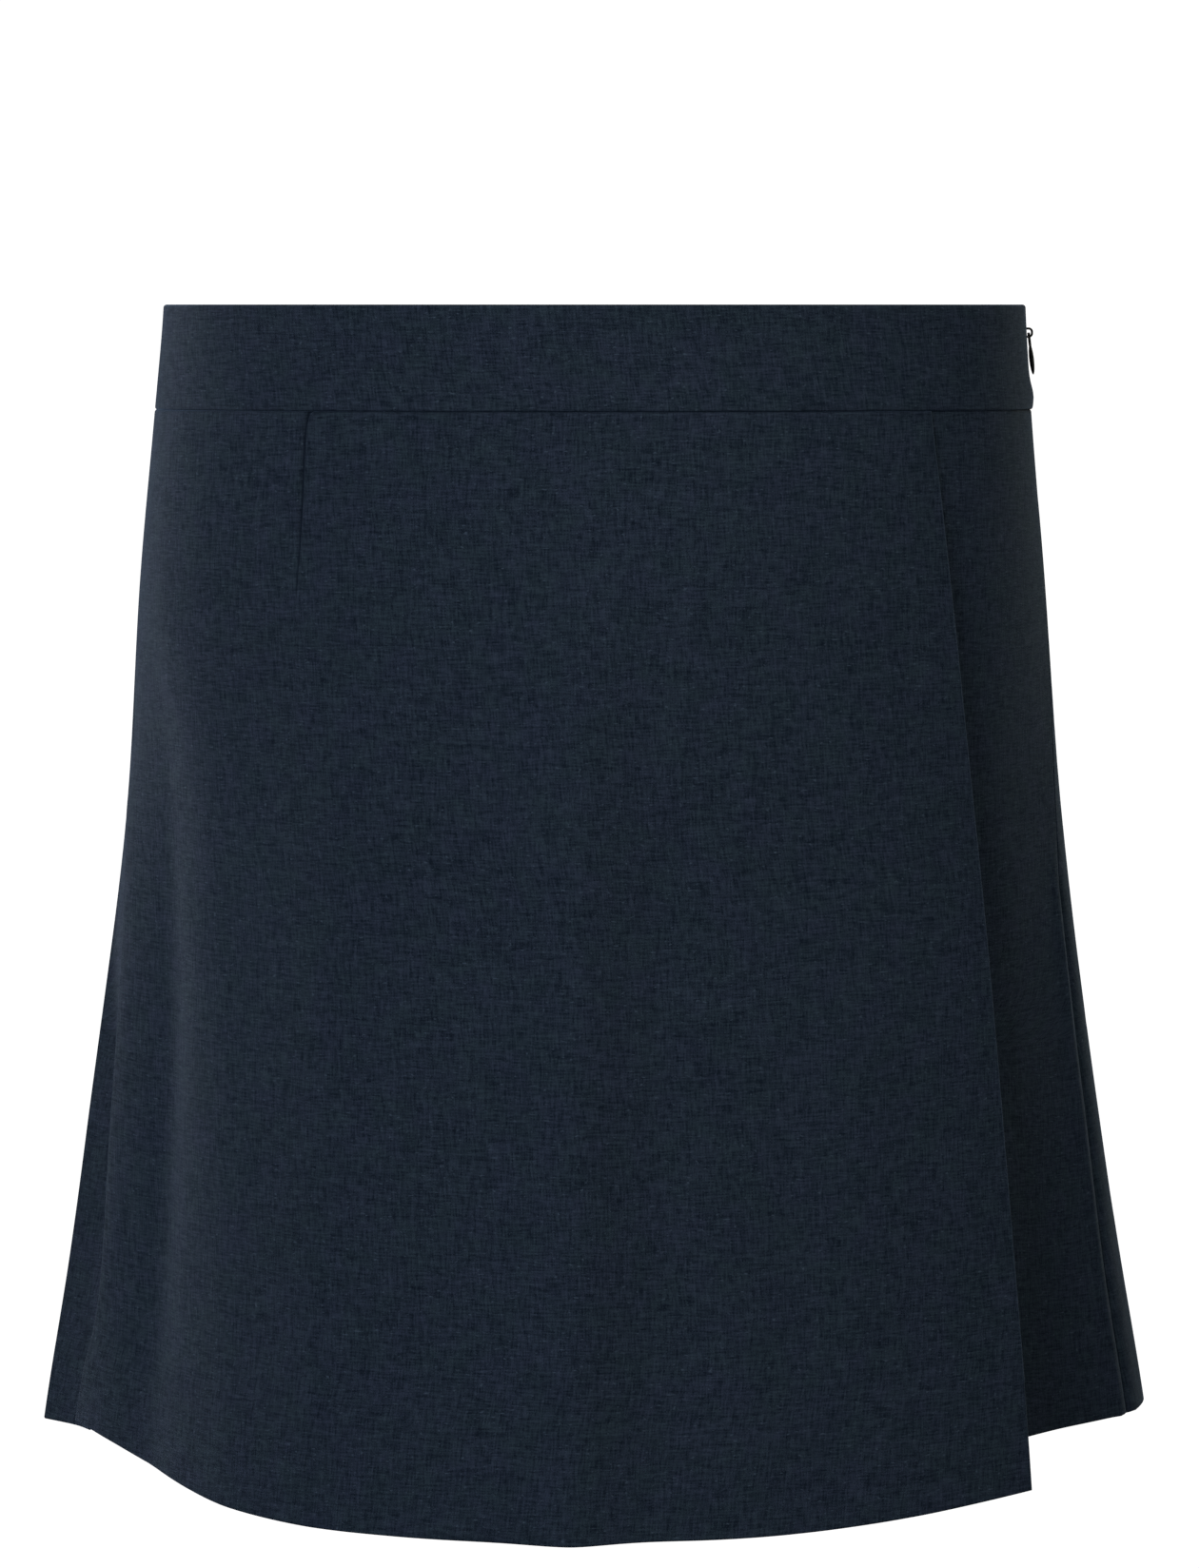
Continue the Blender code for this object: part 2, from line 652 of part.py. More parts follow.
def make_pull_tab(finish, into, helpers):
    curve = bpy.data.curves.new("zip_pull_tab", "CURVE")
    curve.dimensions = "2D"
    curve.fill_mode = "BOTH"
    curve.extrude = TAB_HALF
    for outline in tab_outline():
        add_line(curve, [(across, up, 0.0) for across, up in outline], closed=True)
    mesh = mesh_from_curve(curve, helpers)
    # The outline lies in X and Y. This stands it up in Y and Z, facing out along X.
    mesh.transform(Matrix(((0, 0, 1, 0), (1, 0, 0, 0), (0, 1, 0, 0), (0, 0, 0, 1))))
    tab = add_object("zip_pull_tab", mesh, finish, into)
    size = Matrix.Diagonal((*TAB_BULB_HALF, 1.0))
    sphere = {"u_segments": 16, "v_segments": 10, "radius": 1.0}
    bulb_mesh = mesh_from_primitive("tab_bulb", bmesh.ops.create_uvsphere, size, **sphere)
    bulb = add_object("tab_bulb", bulb_mesh, finish, helpers)
    bulb.location = (0.0, 0.0, TAB_BULB_HALF.z - TAB_LENGTH)
    bulb.parent = tab
    join_with(tab, bulb)
    tab.location = tab_hinge()
    tab.rotation_euler = (0.0, -TAB_TILT, 0.0)


def main():
    clear_scene()
    parts = collection("wrap_skort")
    helpers = collection("wrap_skort_cutters")
    suiting = material("navy_suiting", (0.016, 0.024, 0.038), 0.85)
    tape = material("zip_tape", (0.010, 0.013, 0.020), 0.9)
    metal = material("black_zip_metal", (0.010, 0.011, 0.012), 0.35, 0.6)
    make_waistband(suiting, parts)
    make_shorts(suiting, parts)
    cloth_wall("wrap_panel", WRAP_COLUMNS, WRAP_ROW_COUNT, wrap_panel_point, suiting, parts)
    cloth_wall("zip_tape", len(TAPE_SHARES), len(TAPE_DROPS), tape_point, tape, parts)
    make_slider(metal, parts, helpers)
    make_pull_tab(metal, parts, helpers)


main()
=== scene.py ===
"""The wrap skort's looks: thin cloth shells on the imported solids' forms, their seams and
stitches, the zip, the material, light and camera. Metres, +Z up, the front faces -Y, and
the wearer's left is +X. A "drop" is a height below the waistband's top edge.
"""

import math
from collections import namedtuple

import bpy
import numpy as np
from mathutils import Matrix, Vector


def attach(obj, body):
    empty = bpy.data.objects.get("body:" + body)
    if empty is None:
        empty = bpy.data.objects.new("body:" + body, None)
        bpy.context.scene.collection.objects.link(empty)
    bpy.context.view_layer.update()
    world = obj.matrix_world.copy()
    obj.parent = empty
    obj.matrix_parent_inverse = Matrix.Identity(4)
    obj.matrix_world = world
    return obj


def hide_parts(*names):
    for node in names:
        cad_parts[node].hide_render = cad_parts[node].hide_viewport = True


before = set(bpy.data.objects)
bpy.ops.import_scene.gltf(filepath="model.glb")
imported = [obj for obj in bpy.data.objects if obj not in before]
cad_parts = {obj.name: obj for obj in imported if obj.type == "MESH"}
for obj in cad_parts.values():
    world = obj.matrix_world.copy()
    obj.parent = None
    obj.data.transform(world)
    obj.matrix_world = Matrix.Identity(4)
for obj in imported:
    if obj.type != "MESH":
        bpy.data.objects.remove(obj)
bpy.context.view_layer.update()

# The worn form, as the solids have it
ORIGIN_DROP = 0.019
WAIST_SEAM_SIDE = 0.0380
WAIST_SEAM_RISE = 0.0012
SHORTS_HEM = {1: 0.4052, -1: 0.4063}
SHORTS_HEM_RISE = 0.0022
SHORTS_HEM_RISE_BY = 0.35
HEM_TURN = 0.036
CROTCH_START = 0.160
CROTCH = 0.265
LEG_FORMED = 0.370
LEG_FULLNESS = 0.45
LEG_FOLD = 0.72
INSEAM_SPREAD = 0.0065
INSEAM_POWER = 0.8
UNDER_WAIST = {1: 0.0009, -1: 0.0018}  # how deep each shorts' front lies under the wrap
UNDER_HEM = 0.0120
UNDER_BY = 0.20  # share across from the side seam
UNDER_POWER = 1.3
SLIT_DROP = 0.183
LIFT_WIDTH = 0.055
SIDE_GROOVE = 0.0021  # the leg's side seam is drawn in this far below the zip
SIDE_GROOVE_HALF = 0.0019
SIDE_RIDGE = 0.0011  # and the cloth stands up beside it on the front
SIDE_RIDGE_AT = 0.0046
SIDE_RIDGE_HALF = 0.0017
SIDE_RING = 0.190  # metres along the leg for a whole share, near the side seam
WAIST_RING = 0.163  # and the same at the waist
SIDE_DRAWN_BY = 0.05
LEFT_SWING = 0.0030
LEFT_SWING_BY = 0.140
LEFT_SWING_WIDTH = 0.020  # how far in from it the swing begins
LEFT_SWING_MOST = 1.3
RIGHT_CREASE = 0.026  # how far forward the right leg's side is creased, from the slit down
RIGHT_CREASE_BY = 0.120
RIGHT_CREASE_SLOPE = 0.8
RIGHT_CREASE_WIDTH = 0.060
CREASE_SOFT = 0.0015
CREASE_SOFT_BY = 0.060
CENTRE_CLEAR = 0.00005  # half the gap at the centre seam
BAND_BULGE = 0.0012  # of the band over the zip
BAND_BULGE_DROP, BAND_BULGE_HALF_HEIGHT = 0.033, 0.005
BAND_BULGE_HALF_ANGLE = 0.12

Form = namedtuple("Form", "drop half_width front_depth back_depth point centre_x")
FORM = [
    Form(0.000, 0.1566, 0.1000, 0.1050, 1.10, -0.0006),
    Form(0.038, 0.1596, 0.1040, 0.1090, 1.12, -0.0011),
    Form(0.100, 0.1653, 0.1115, 0.1185, 1.17, -0.0014),
    Form(0.167, 0.1700, 0.1185, 0.1265, 1.22, -0.0009),
    Form(0.200, 0.1732, 0.1220, 0.1290, 1.24, -0.0007),
    Form(0.240, 0.1779, 0.1270, 0.1315, 1.27, -0.0004),
    Form(0.290, 0.1845, 0.1345, 0.1345, 1.32, 0.0001),
    Form(0.345, 0.1927, 0.1435, 0.1378, 1.37, 0.0005),
    Form(0.406, 0.2030, 0.1540, 0.1412, 1.41, 0.0007),
    Form(0.425, 0.2063, 0.1570, 0.1422, 1.42, 0.0008),
]
Side = namedtuple("Side", "drop left_seam right_seam wrap_edge wrap_lift")
SIDES = [
    Side(0.000, 0.0000, 0.0000, 0.0000, 0.0000),
    Side(0.070, 0.0000, 0.0000, 0.0000, 0.0000),
    Side(0.105, 0.0003, 0.0002, 0.0002, 0.0000),
    Side(0.135, 0.0010, 0.0007, 0.0007, 0.0000),
    Side(0.160, 0.0020, 0.0014, 0.0014, 0.0000),
    Side(0.183, 0.0033, 0.0024, 0.0024, 0.0015),
    Side(0.205, 0.0038, 0.0060, 0.0048, 0.0020),
    Side(0.250, 0.0041, 0.0104, 0.0078, 0.0020),
    Side(0.303, 0.0046, 0.0138, 0.0109, 0.0020),
    Side(0.356, 0.0060, 0.0186, 0.0156, 0.0024),
    Side(0.371, 0.0063, 0.0190, 0.0160, 0.0030),
    Side(0.383, 0.0064, 0.0182, 0.0152, 0.0034),
    Side(0.425, 0.0067, 0.0182, 0.0150, 0.0034),
]
WrapEdge = namedtuple("WrapEdge", "drop x swing")
WRAP_EDGE = [
    WrapEdge(0.038, 0.1180, 0.0000),
    WrapEdge(0.060, 0.1206, 0.0006),
    WrapEdge(0.080, 0.1229, 0.0020),
    WrapEdge(0.125, 0.1278, 0.0056),
    WrapEdge(0.219, 0.1375, 0.0115),
    WrapEdge(0.325, 0.1465, 0.0160),
    WrapEdge(0.422, 0.1536, 0.0190),
]
SWING_WIDTH = 0.085
SWING_POWER = 1.6
WrapHem = namedtuple("WrapHem", "x drop")
WRAP_HEM = [
    WrapHem(-0.190, 0.4030),
    WrapHem(-0.176, 0.4066),
    WrapHem(-0.160, 0.4116),
    WrapHem(-0.129, 0.4184),
    WrapHem(-0.070, 0.4205),
    WrapHem(0.000, 0.4196),
    WrapHem(0.070, 0.4197),
    WrapHem(0.110, 0.4174),
    WrapHem(0.160, 0.4133),
]
WRAP_LOWEST = 0.4205

# Soft folds: where each begins and ends, how far it bows between, its half widths and height
Fold = namedtuple("Fold", "top_drop top_x end_drop end_x bow left_width right_width height")
WRAP_FOLDS = [
    Fold(0.110, -0.1585, 0.470, -0.1670, 0.0065, 0.0100, 0.0100, -0.0056),  # by the free left edge
    Fold(0.230, -0.1300, 0.480, -0.1280, 0.0000, 0.0140, 0.0200, 0.0020),
    Fold(0.028, -0.1490, 0.180, -0.1500, 0.0000, 0.0120, 0.0320, 0.0028),
    Fold(0.090, -0.0850, 0.500, -0.1040, 0.0030, 0.0270, 0.0290, 0.0048),
    Fold(0.085, 0.0000, 0.520, -0.0100, -0.0030, 0.0200, 0.0170, 0.0090),
    Fold(0.055, -0.0050, 0.175, -0.0070, 0.0000, 0.0060, 0.0060, 0.0005),
    Fold(0.165, 0.0240, 0.300, 0.0220, 0.0000, 0.0110, 0.0110, -0.0012),
    Fold(0.270, 0.0260, 0.440, 0.0180, 0.0000, 0.0140, 0.0140, -0.0010),
    Fold(0.190, 0.0850, 0.460, 0.1000, 0.0000, 0.0220, 0.0220, 0.0012),
    Fold(0.205, 0.0470, 0.228, 0.1050, 0.0020, 0.0060, 0.0060, 0.0004),
    Fold(0.222, 0.0560, 0.237, 0.1020, 0.0010, 0.0050, 0.0050, -0.0003),
    Fold(0.140, 0.0600, 0.205, 0.0480, 0.0000, 0.0090, 0.0090, 0.0005),
]
FRONT_FOLDS = [
    Fold(0.060, 0.1440, 0.190, 0.1530, 0.0000, 0.0100, 0.0100, -0.0012),
    Fold(0.150, 0.1700, 0.225, 0.1470, 0.0000, 0.0080, 0.0080, 0.0013),
    Fold(0.185, 0.1500, 0.310, 0.1600, 0.0000, 0.0110, 0.0110, 0.0018),
    Fold(0.280, 0.1600, 0.470, 0.1740, 0.0000, 0.0110, 0.0110, -0.0022),
    Fold(0.180, -0.0600, 0.420, -0.1100, 0.0000, 0.0180, 0.0180, 0.0012),
]
BACK_FOLDS = [
    Fold(0.090, -0.1200, 0.330, -0.0850, 0.0040, 0.0160, 0.0220, 0.0020),
    Fold(0.110, 0.1280, 0.360, 0.0980, -0.0030, 0.0200, 0.0150, 0.0018),
    Fold(0.230, -0.0600, 0.470, -0.1020, 0.0000, 0.0170, 0.0170, -0.0022),
    Fold(0.215, 0.0520, 0.480, 0.0880, 0.0020, 0.0190, 0.0190, -0.0023),
    Fold(0.240, -0.1350, 0.480, -0.1500, 0.0000, 0.0090, 0.0130, 0.0018),
    Fold(0.260, 0.1400, 0.480, 0.1600, 0.0000, 0.0130, 0.0090, 0.0019),
    Fold(0.060, -0.0450, 0.200, -0.0300, 0.0000, 0.0220, 0.0220, 0.0010),
    Fold(0.235, 0.0300, 0.285, 0.0780, 0.0040, 0.0060, 0.0060, 0.0009),
    Fold(0.245, -0.0260, 0.300, -0.0700, -0.0040, 0.0065, 0.0065, 0.0008),
]
FOLD_FADE = 0.7
FOLD_EDGE = 1.7  # the higher, the flatter a fold's top
FOLD_BOW_AT = 0.6
FOLD_CLEAR = 0.006
SIDE_CALM, CENTRE_CALM = 0.06, 0.10  # shares of a leg's panel by its seams without folds
RIPPLE_HEIGHT = 0.0004
RIPPLE_ACROSS, RIPPLE_SPREAD, RIPPLE_DOWN = 90, 70, 55  # in radians a metre
RIPPLE_PHASE = 9
BACK_RIPPLES = 3  # metres along, so that the back's ripples differ from the front's
CALM_DROP, CALM_BY = 0.040, 0.03  # the waist seam holds the cloth without ripples

TURN_LEAST = 0.03
TUBE_SIDES = 6
TUBE_END = 0.6  # of its radius
THREAD = 0.00013
Stitch = namedtuple("Stitch", "along above inset")  # a stitch's points: along the hem, above it
STITCH = Stitch((-0.0008, 0.0, 0.0010), (0.0350, 0.0363, 0.0377), (0.00175, 0.00190, 0.00090))

ALLOWANCE = 0.010
ALLOWANCE_CLOTH = 0.0006
ALLOWANCE_COLUMNS = np.array([0, 0.02, 0.05, 0.1, 0.3, 0.5, 0.7, 0.9, 0.95, 0.98, 1])
ALLOWANCE_ROWS = 90
ALLOWANCE_IN = 0.0008  # from the seam
ALLOWANCE_TOP = 0.0405
HEM_CLEAR = 0.003
LAID = 0.0001  # between two cloths that lie on each other

ZIP_TOP = 0.0162
ZIP_END = 0.158
ZIP_CLEAR = 0.004
COIL_PITCH = 0.0013
COIL_RADIUS = 0.00085
COIL_WIRE = 0.00026
COIL_APART = 0.0007  # each coil's middle from the seam
COIL_STEPS = 10  # a turn
TAPE_INSET = 0.0038, 0.0023  # the tape's inner side, behind the band and below it
TAPE_MOVED, TAPE_MOVED_BY = 0.001, 0.007  # the stretch under the band where that changes

DART_X = -0.1018
DART_SPREAD = 0.6
DART_END = 0.100
DART_FADE = 0.032
DART_DEPTH = 0.0014
DART_HALF = 0.0006
DART_HOOK = 0.0016  # the dart's top leans this far towards the centre
DART_HOOK_BY = 0.0030
DART_TIP = 0.2  # how fast its line fades out below its end
DART_LEFT = 0.12  # of its depth, over the stretch below its end
DART_GONE = 0.05
DART_SHOULDER = 0.35  # the cloth stands up beside it by this share of its depth
SHOULDER_AT, SHOULDER_HALF = 0.0016, 0.0014

# The cloth as it shows
CLOTH = 0.0008
HEM_CLOTH = 0.0017
BAND_CLOTH = 0.0023
STEP = 0.0021  # how far apart a shell's points are where it is smooth
NEAR_EDGE = np.array([0, 0.04, 0.12, 0.25, 0.45, 0.70, 1.0, 1.5, 2.3]) / 1000
DENSE = np.linspace(0, 1, 401)  # shares across, to measure a row along
FAR = 0.05  # metres from a seam or an edge, where there is none
HEM_RIDGE = 0.0015  # over which the turned-up hem's thickness begins
TOP_MOVED, TOP_MOVED_BY = 0.004, 0.028  # how far down the rows follow the top edge's curve
HEM_MOVED, HEM_MOVED_BY = 0.125, 0.075
LEG_COLUMNS, CREASED_COLUMNS, WRAP_COLUMNS, BAND_COLUMNS = (90,), (8, 84), (26, 118), (200,)
CROTCH_ROWS = 26
CROTCH_CLEAR = 0.0008  # no other row lies this near below the crotch


def ease(t):
    t = np.clip(t, 0.0, 1.0)
    return t * t * (3 - 2 * t)


def smooth(table, key, value):
    """The table's columns at each value, on smooth curves through its rows."""
    value = np.asarray(value, float)
    rows = np.array(table, float)
    spots = rows[:, table[0]._fields.index(key)]
    low = np.clip(np.searchsorted(spots, value, side="right") - 1, 0, len(spots) - 2)
    before, after = np.maximum(low - 1, 0), np.minimum(low + 2, len(spots) - 1)
    step = spots[low + 1] - spots[low]
    t = np.clip((value - spots[low]) / step, 0, 1)[..., None]
    before_step = np.maximum(spots[low] - spots[before], step / 2)[..., None]
    after_step = np.maximum(spots[after] - spots[low + 1], step / 2)[..., None]
    a, b, step = rows[low], rows[low + 1], step[..., None]
    slope_a = (b - rows[before]) / (step + before_step) * step
    slope_b = (rows[after] - a) / (step + after_step) * step
    made = (2 * t**3 - 3 * t**2 + 1) * a + (t**3 - 2 * t**2 + t) * slope_a
    made += (3 * t**2 - 2 * t**3) * b + (t**3 - t**2) * slope_b
    return type(table[0])(*np.moveaxis(made, -1, 0))


def waist_seam(y):
    return WAIST_SEAM_SIDE - WAIST_SEAM_RISE * np.maximum(0.0, -y) / FORM[1].front_depth


def ring(form, angle, inset):
    depth = np.where(angle > 0, form.front_depth, form.back_depth)
    x = (form.half_width - inset) * np.cos(angle)
    y = -(depth - inset) * np.sign(angle) * np.abs(np.sin(angle)) ** form.point
    return x, y


def folds(table, x, drop):
    total = np.zeros_like(x)
    for fold in table:
        run_x, run_drop = fold.end_x - fold.top_x, fold.end_drop - fold.top_drop
        length = math.hypot(run_x, run_drop)
        off_x, off_drop = x - fold.top_x, drop - fold.top_drop
        along = np.clip((off_x * run_x + off_drop * run_drop) / length**2, 0, 1)
        bowed = fold.bow * np.sin(math.pi * along**FOLD_BOW_AT)
        across = (off_x * run_drop - off_drop * run_x) / length - bowed
        rise = np.sin(math.pi * along) ** FOLD_FADE
        width = np.where(across < 0, fold.left_width, fold.right_width)
        total += fold.height * rise * np.exp(-(np.abs(across / width) ** FOLD_EDGE))
    return total


RIPPLES = np.random.default_rng(7).uniform(-1, 1, (14, 4))


def ripple(x, drop):
    """Small uneven waves that no cloth is without."""
    total = np.zeros_like(x)
    for across, down, phase, size in RIPPLES:
        turned = x * (RIPPLE_ACROSS + RIPPLE_SPREAD * across) + drop * RIPPLE_DOWN * down
        total += size * np.sin(turned + phase * RIPPLE_PHASE)
    return RIPPLE_HEIGHT * total / len(RIPPLES)


def below_waist(drop):
    return ease((drop - CALM_DROP) / CALM_BY)


def points(x, y, drop):
    return np.stack([x, y, ORIGIN_DROP - drop], axis=-1)


# Each panel's outer side, as a function of drop, share across and how far inside it


def band_side(front):
    def side(drop, share, inset):
        angle = (math.pi if front else -math.pi) * share
        form = smooth(FORM, "drop", drop)
        across = angle / BAND_BULGE_HALF_ANGLE
        down = (drop - BAND_BULGE_DROP) / BAND_BULGE_HALF_HEIGHT
        bulge = BAND_BULGE * np.exp(-across * across - down * down)
        x, y = ring(form, angle, inset - bulge)
        return points(x + form.centre_x, y, drop)

    return side


def leg_share(drop):
    """How much of a leg the section at the centre seam is."""
    down = np.clip((drop - CROTCH_START) / (CROTCH - CROTCH_START), 0, 1)
    return 1 - np.sqrt(1 - down * down)


def silhouette(ring_start):
    """How far across a back panel it turns from facing forward to facing back."""
    return ring_start / (ring_start + math.pi / 2)


def crease_forward(x, y, half_width, drop):
    """The right leg's side, creased so that it faces forward beside the wrap's free edge."""
    forward = RIGHT_CREASE * ease((drop - SLIT_DROP) / RIGHT_CREASE_BY)
    from_side = half_width - x
    ahead = -forward - RIGHT_CREASE_SLOPE * from_side
    back = y - forward * ease(1 - from_side / RIGHT_CREASE_WIDTH)
    front = (y + ahead) / 2 - np.sqrt(((y - ahead) / 2) ** 2 + CREASE_SOFT**2)
    front = front + CREASE_SOFT * ease(1 - (drop - SLIT_DROP) / CREASE_SOFT_BY)
    front = y + (front - y) * ease(2 - 2 * from_side / RIGHT_CREASE_WIDTH)
    return np.where(forward > 0, np.where(y < 0, front, back), y)


def settled(share):
    """How far a front panel has sunk under the wrap at a share across, from its side seam on."""
    return 1 - (1 - np.minimum(1, share / UNDER_BY)) ** 2


def shorts_side(side, front):
    def outer(drop, share, inset):
        form = smooth(FORM, "drop", drop)
        sides = smooth(SIDES, "drop", drop)
        side_leg = ease((drop - CROTCH_START) / (LEG_FORMED - CROTCH_START))
        fold = ease((share - LEG_FOLD) / (1 - LEG_FOLD))
        leg = side_leg + (leg_share(drop) - side_leg) * fold
        if front:
            down = (drop - WAIST_SEAM_SIDE) / (SHORTS_HEM[side] - WAIST_SEAM_SIDE)
            under = UNDER_WAIST[side]
            full = under + (UNDER_HEM - under) * np.maximum(0, down) ** UNDER_POWER
            at_seam = 0.0 if side > 0 else under
            inset = inset + at_seam + (full - at_seam) * settled(share)
        seam = np.maximum(0, sides.left_seam if side > 0 else sides.right_seam)
        gap = (
            INSEAM_SPREAD
            * (np.maximum(0, drop - CROTCH) / (SHORTS_HEM[1] - CROTCH)) ** INSEAM_POWER
        )
        leg_half = (form.half_width - gap) / 2
        facing = 1 if front else -1
        ring_start = np.arccos(1 - seam / form.half_width)
        leg_start = np.arccos(1 - seam / leg_half)
        ring_angle = ring_start + (facing * math.pi / 2 - ring_start) * share
        if front:
            leg_angle = leg_start + (math.pi - leg_start) * share
        else:
            turn = silhouette(ring_start)
            before = leg_start * (1 - share / np.maximum(turn, 1e-6))
            leg_angle = np.where(share < turn, before, -math.pi * (share - turn) / (1 - turn))
        half_width = form.half_width - inset
        ring_x = half_width * np.cos(ring_angle)
        leg_x = leg_half + gap + (leg_half - inset) * np.cos(leg_angle)
        x = ring_x + (leg_x - ring_x) * leg
        angle = np.copysign(np.arccos(np.clip(x / half_width, 0, 1)), ring_angle)
        x_form = side * x + form.centre_x
        lift = folds(FRONT_FOLDS if front else BACK_FOLDS, x_form, drop)
        if front:
            lift = lift + np.minimum(0, folds(WRAP_FOLDS, x_form, drop))
        lift = lift + ripple(x_form + (0 if front else BACK_RIPPLES), drop)
        away = ease(share / SIDE_CALM) * ease((1 - share) / CENTRE_CALM) * below_waist(drop)
        off_seam = share * SIDE_RING
        drawn = SIDE_GROOVE * np.exp(-((off_seam / SIDE_GROOVE_HALF) ** 2))
        if front:
            ridge = (off_seam - SIDE_RIDGE_AT) / SIDE_RIDGE_HALF
            drawn = drawn - SIDE_RIDGE * np.exp(-(ridge**2))
        drawn = drawn * ease((drop - SLIT_DROP) / SIDE_DRAWN_BY) if side > 0 else 0.0
        x, y = x - drawn * np.cos(angle) * (1 - fold), ring(form, angle, inset - lift * away)[1]
        if side < 0:
            y = crease_forward(x, y, half_width, drop)
        inner = np.abs(leg_angle) > math.pi / 2
        inside = 1 - leg * (1 - np.abs(np.sin(leg_angle)) ** LEG_FULLNESS)
        y = np.where(inner, y * inside, y)
        at_centre = np.copysign(np.maximum(np.abs(y), CENTRE_CLEAR), -facing)
        y = np.where(share >= 1, at_centre, y)
        return points(side * np.maximum(x, CENTRE_CLEAR) + form.centre_x, y, drop)

    return outer


def wrap_ends(drop):
    """The ring angles of the wrap panel's left edge, its dart and its right edge."""
    form, sides = smooth(FORM, "drop", drop), smooth(SIDES, "drop", drop)
    left = math.pi - np.arccos(1 - np.maximum(0, sides.wrap_edge) / form.half_width)
    spread = form.half_width / FORM[1].half_width
    dart_x = DART_X * (1 + DART_SPREAD * (spread - 1)) - form.centre_x
    dart_x = dart_x + DART_HOOK * np.exp(-(drop - WAIST_SEAM_SIDE) / DART_HOOK_BY)
    right_x = smooth(WRAP_EDGE, "drop", drop).x - form.centre_x
    return left, np.arccos(dart_x / form.half_width), np.arccos(right_x / form.half_width)


def wrap_side(drop, share, inset):
    form, sides = smooth(FORM, "drop", drop), smooth(SIDES, "drop", drop)
    left, dart, right = wrap_ends(drop)
    angle = left + (right - left) * share
    x = ring(form, angle, 0.0)[0]
    lift = folds(WRAP_FOLDS, x, drop)
    lift = lift + ripple(x, drop) * below_waist(drop)
    from_edge = x + form.half_width - sides.wrap_edge
    lift = lift * ease(from_edge / FOLD_CLEAR)
    lift = lift + sides.wrap_lift * ease(1 - (x + form.half_width) / LIFT_WIDTH)
    off_dart = (dart - angle) * form.front_depth
    sewn = ease((DART_END - drop) / DART_FADE)
    groove = np.exp(-((off_dart / DART_HALF) ** 2))
    shoulder = DART_SHOULDER * np.exp(-(((off_dart + SHOULDER_AT) / SHOULDER_HALF) ** 2))
    depth = DART_DEPTH * (DART_LEFT + (1 - DART_LEFT) * sewn)
    lift = lift - depth * (groove - shoulder) * ease((DART_END + DART_GONE - drop) / DART_GONE)
    x, y = ring(form, angle, inset - lift)
    edge = smooth(WRAP_EDGE, "drop", drop)
    y = y - edge.swing * np.maximum(0, 1 - (edge.x - x) / SWING_WIDTH) ** SWING_POWER
    left_swing = np.clip(1 - from_edge / LEFT_SWING_WIDTH, 0, LEFT_SWING_MOST) ** SWING_POWER
    y = y - LEFT_SWING * ease((drop - SLIT_DROP) / LEFT_SWING_BY) * left_swing
    return points(x + form.centre_x, y, drop)


# Shells


def run(count, ends=(True, True)):
    """Places along a stretch: its share of the stretch, and metres to add, close at both ends."""
    first = NEAR_EDGE if ends[0] else NEAR_EDGE[:1]
    last = NEAR_EDGE if ends[1] else NEAR_EDGE[:1]
    middle = np.linspace(0, 1, count + 1)[1:-1]
    share = np.concatenate([0 * first, middle, 0 * last + 1])
    added = np.concatenate([first, first[-1] + (-last[-1] - first[-1]) * middle, -last[::-1]])
    return share, added


def lengths(line, axis):
    """How far each point is along its line from the first one."""
    steps = np.linalg.norm(np.diff(line, axis=axis), axis=-1)
    start = np.zeros_like(np.take(steps, [0], axis=axis))
    return np.concatenate([start, np.cumsum(steps, axis=axis)], axis=axis)


def row_lengths(side, drop, shares=DENSE):
    return lengths(side(np.full_like(shares, drop), shares, 0.0), 0)


def columns(side, drops, counts, marks=()):
    """Shares across for each row, evenly spaced in metres, but close at the edges and marks."""
    shares, places, totals = [], [], []
    for n, drop in enumerate(drops):
        along = row_lengths(side, drop)
        ends = [0.0, *(np.interp(mark[n], DENSE, along) for mark in marks), along[-1]]
        at = []
        for a, b, count in zip(ends, ends[1:], counts):
            share, added = run(count)
            at.append((a + share * (b - a) + added)[(1 if at else 0) :])
        at = np.concatenate(at)
        at[-1] = along[-1]
        shares.append(np.interp(at, along, DENSE))
        places.append(at)
        totals.append(along[-1])
    return np.array(shares), np.array(places), np.array(totals)[:, None]


def quarter(t):
    """A quarter round's fall: 1 at the edge, 0 from t = 1 on."""
    t = np.clip(t, 0, 1)
    return 1 - np.sqrt(1 - (1 - t) ** 2)


Edge = namedtuple("Edge", "depth radius inner")
SEAM = Edge(0.00074, 0.0008, 0.0005)
WAIST_SEAM = Edge(0.0008, 0.0010, 0.0010)


def free(thickness):
    half = thickness / 2
    return Edge(half, half, half)


def walls(thickness, edges):
    """How far inside the form the shell's outer and inner sides lie. edges are (distance, Edge)."""
    outer, inner = 0.0, 0.0
    for away, edge in edges:
        outer = np.maximum(outer, edge.depth * quarter(away / edge.radius))
        inner = np.maximum(inner, (thickness - edge.depth) * quarter(away / edge.inner))
    return outer, thickness - inner


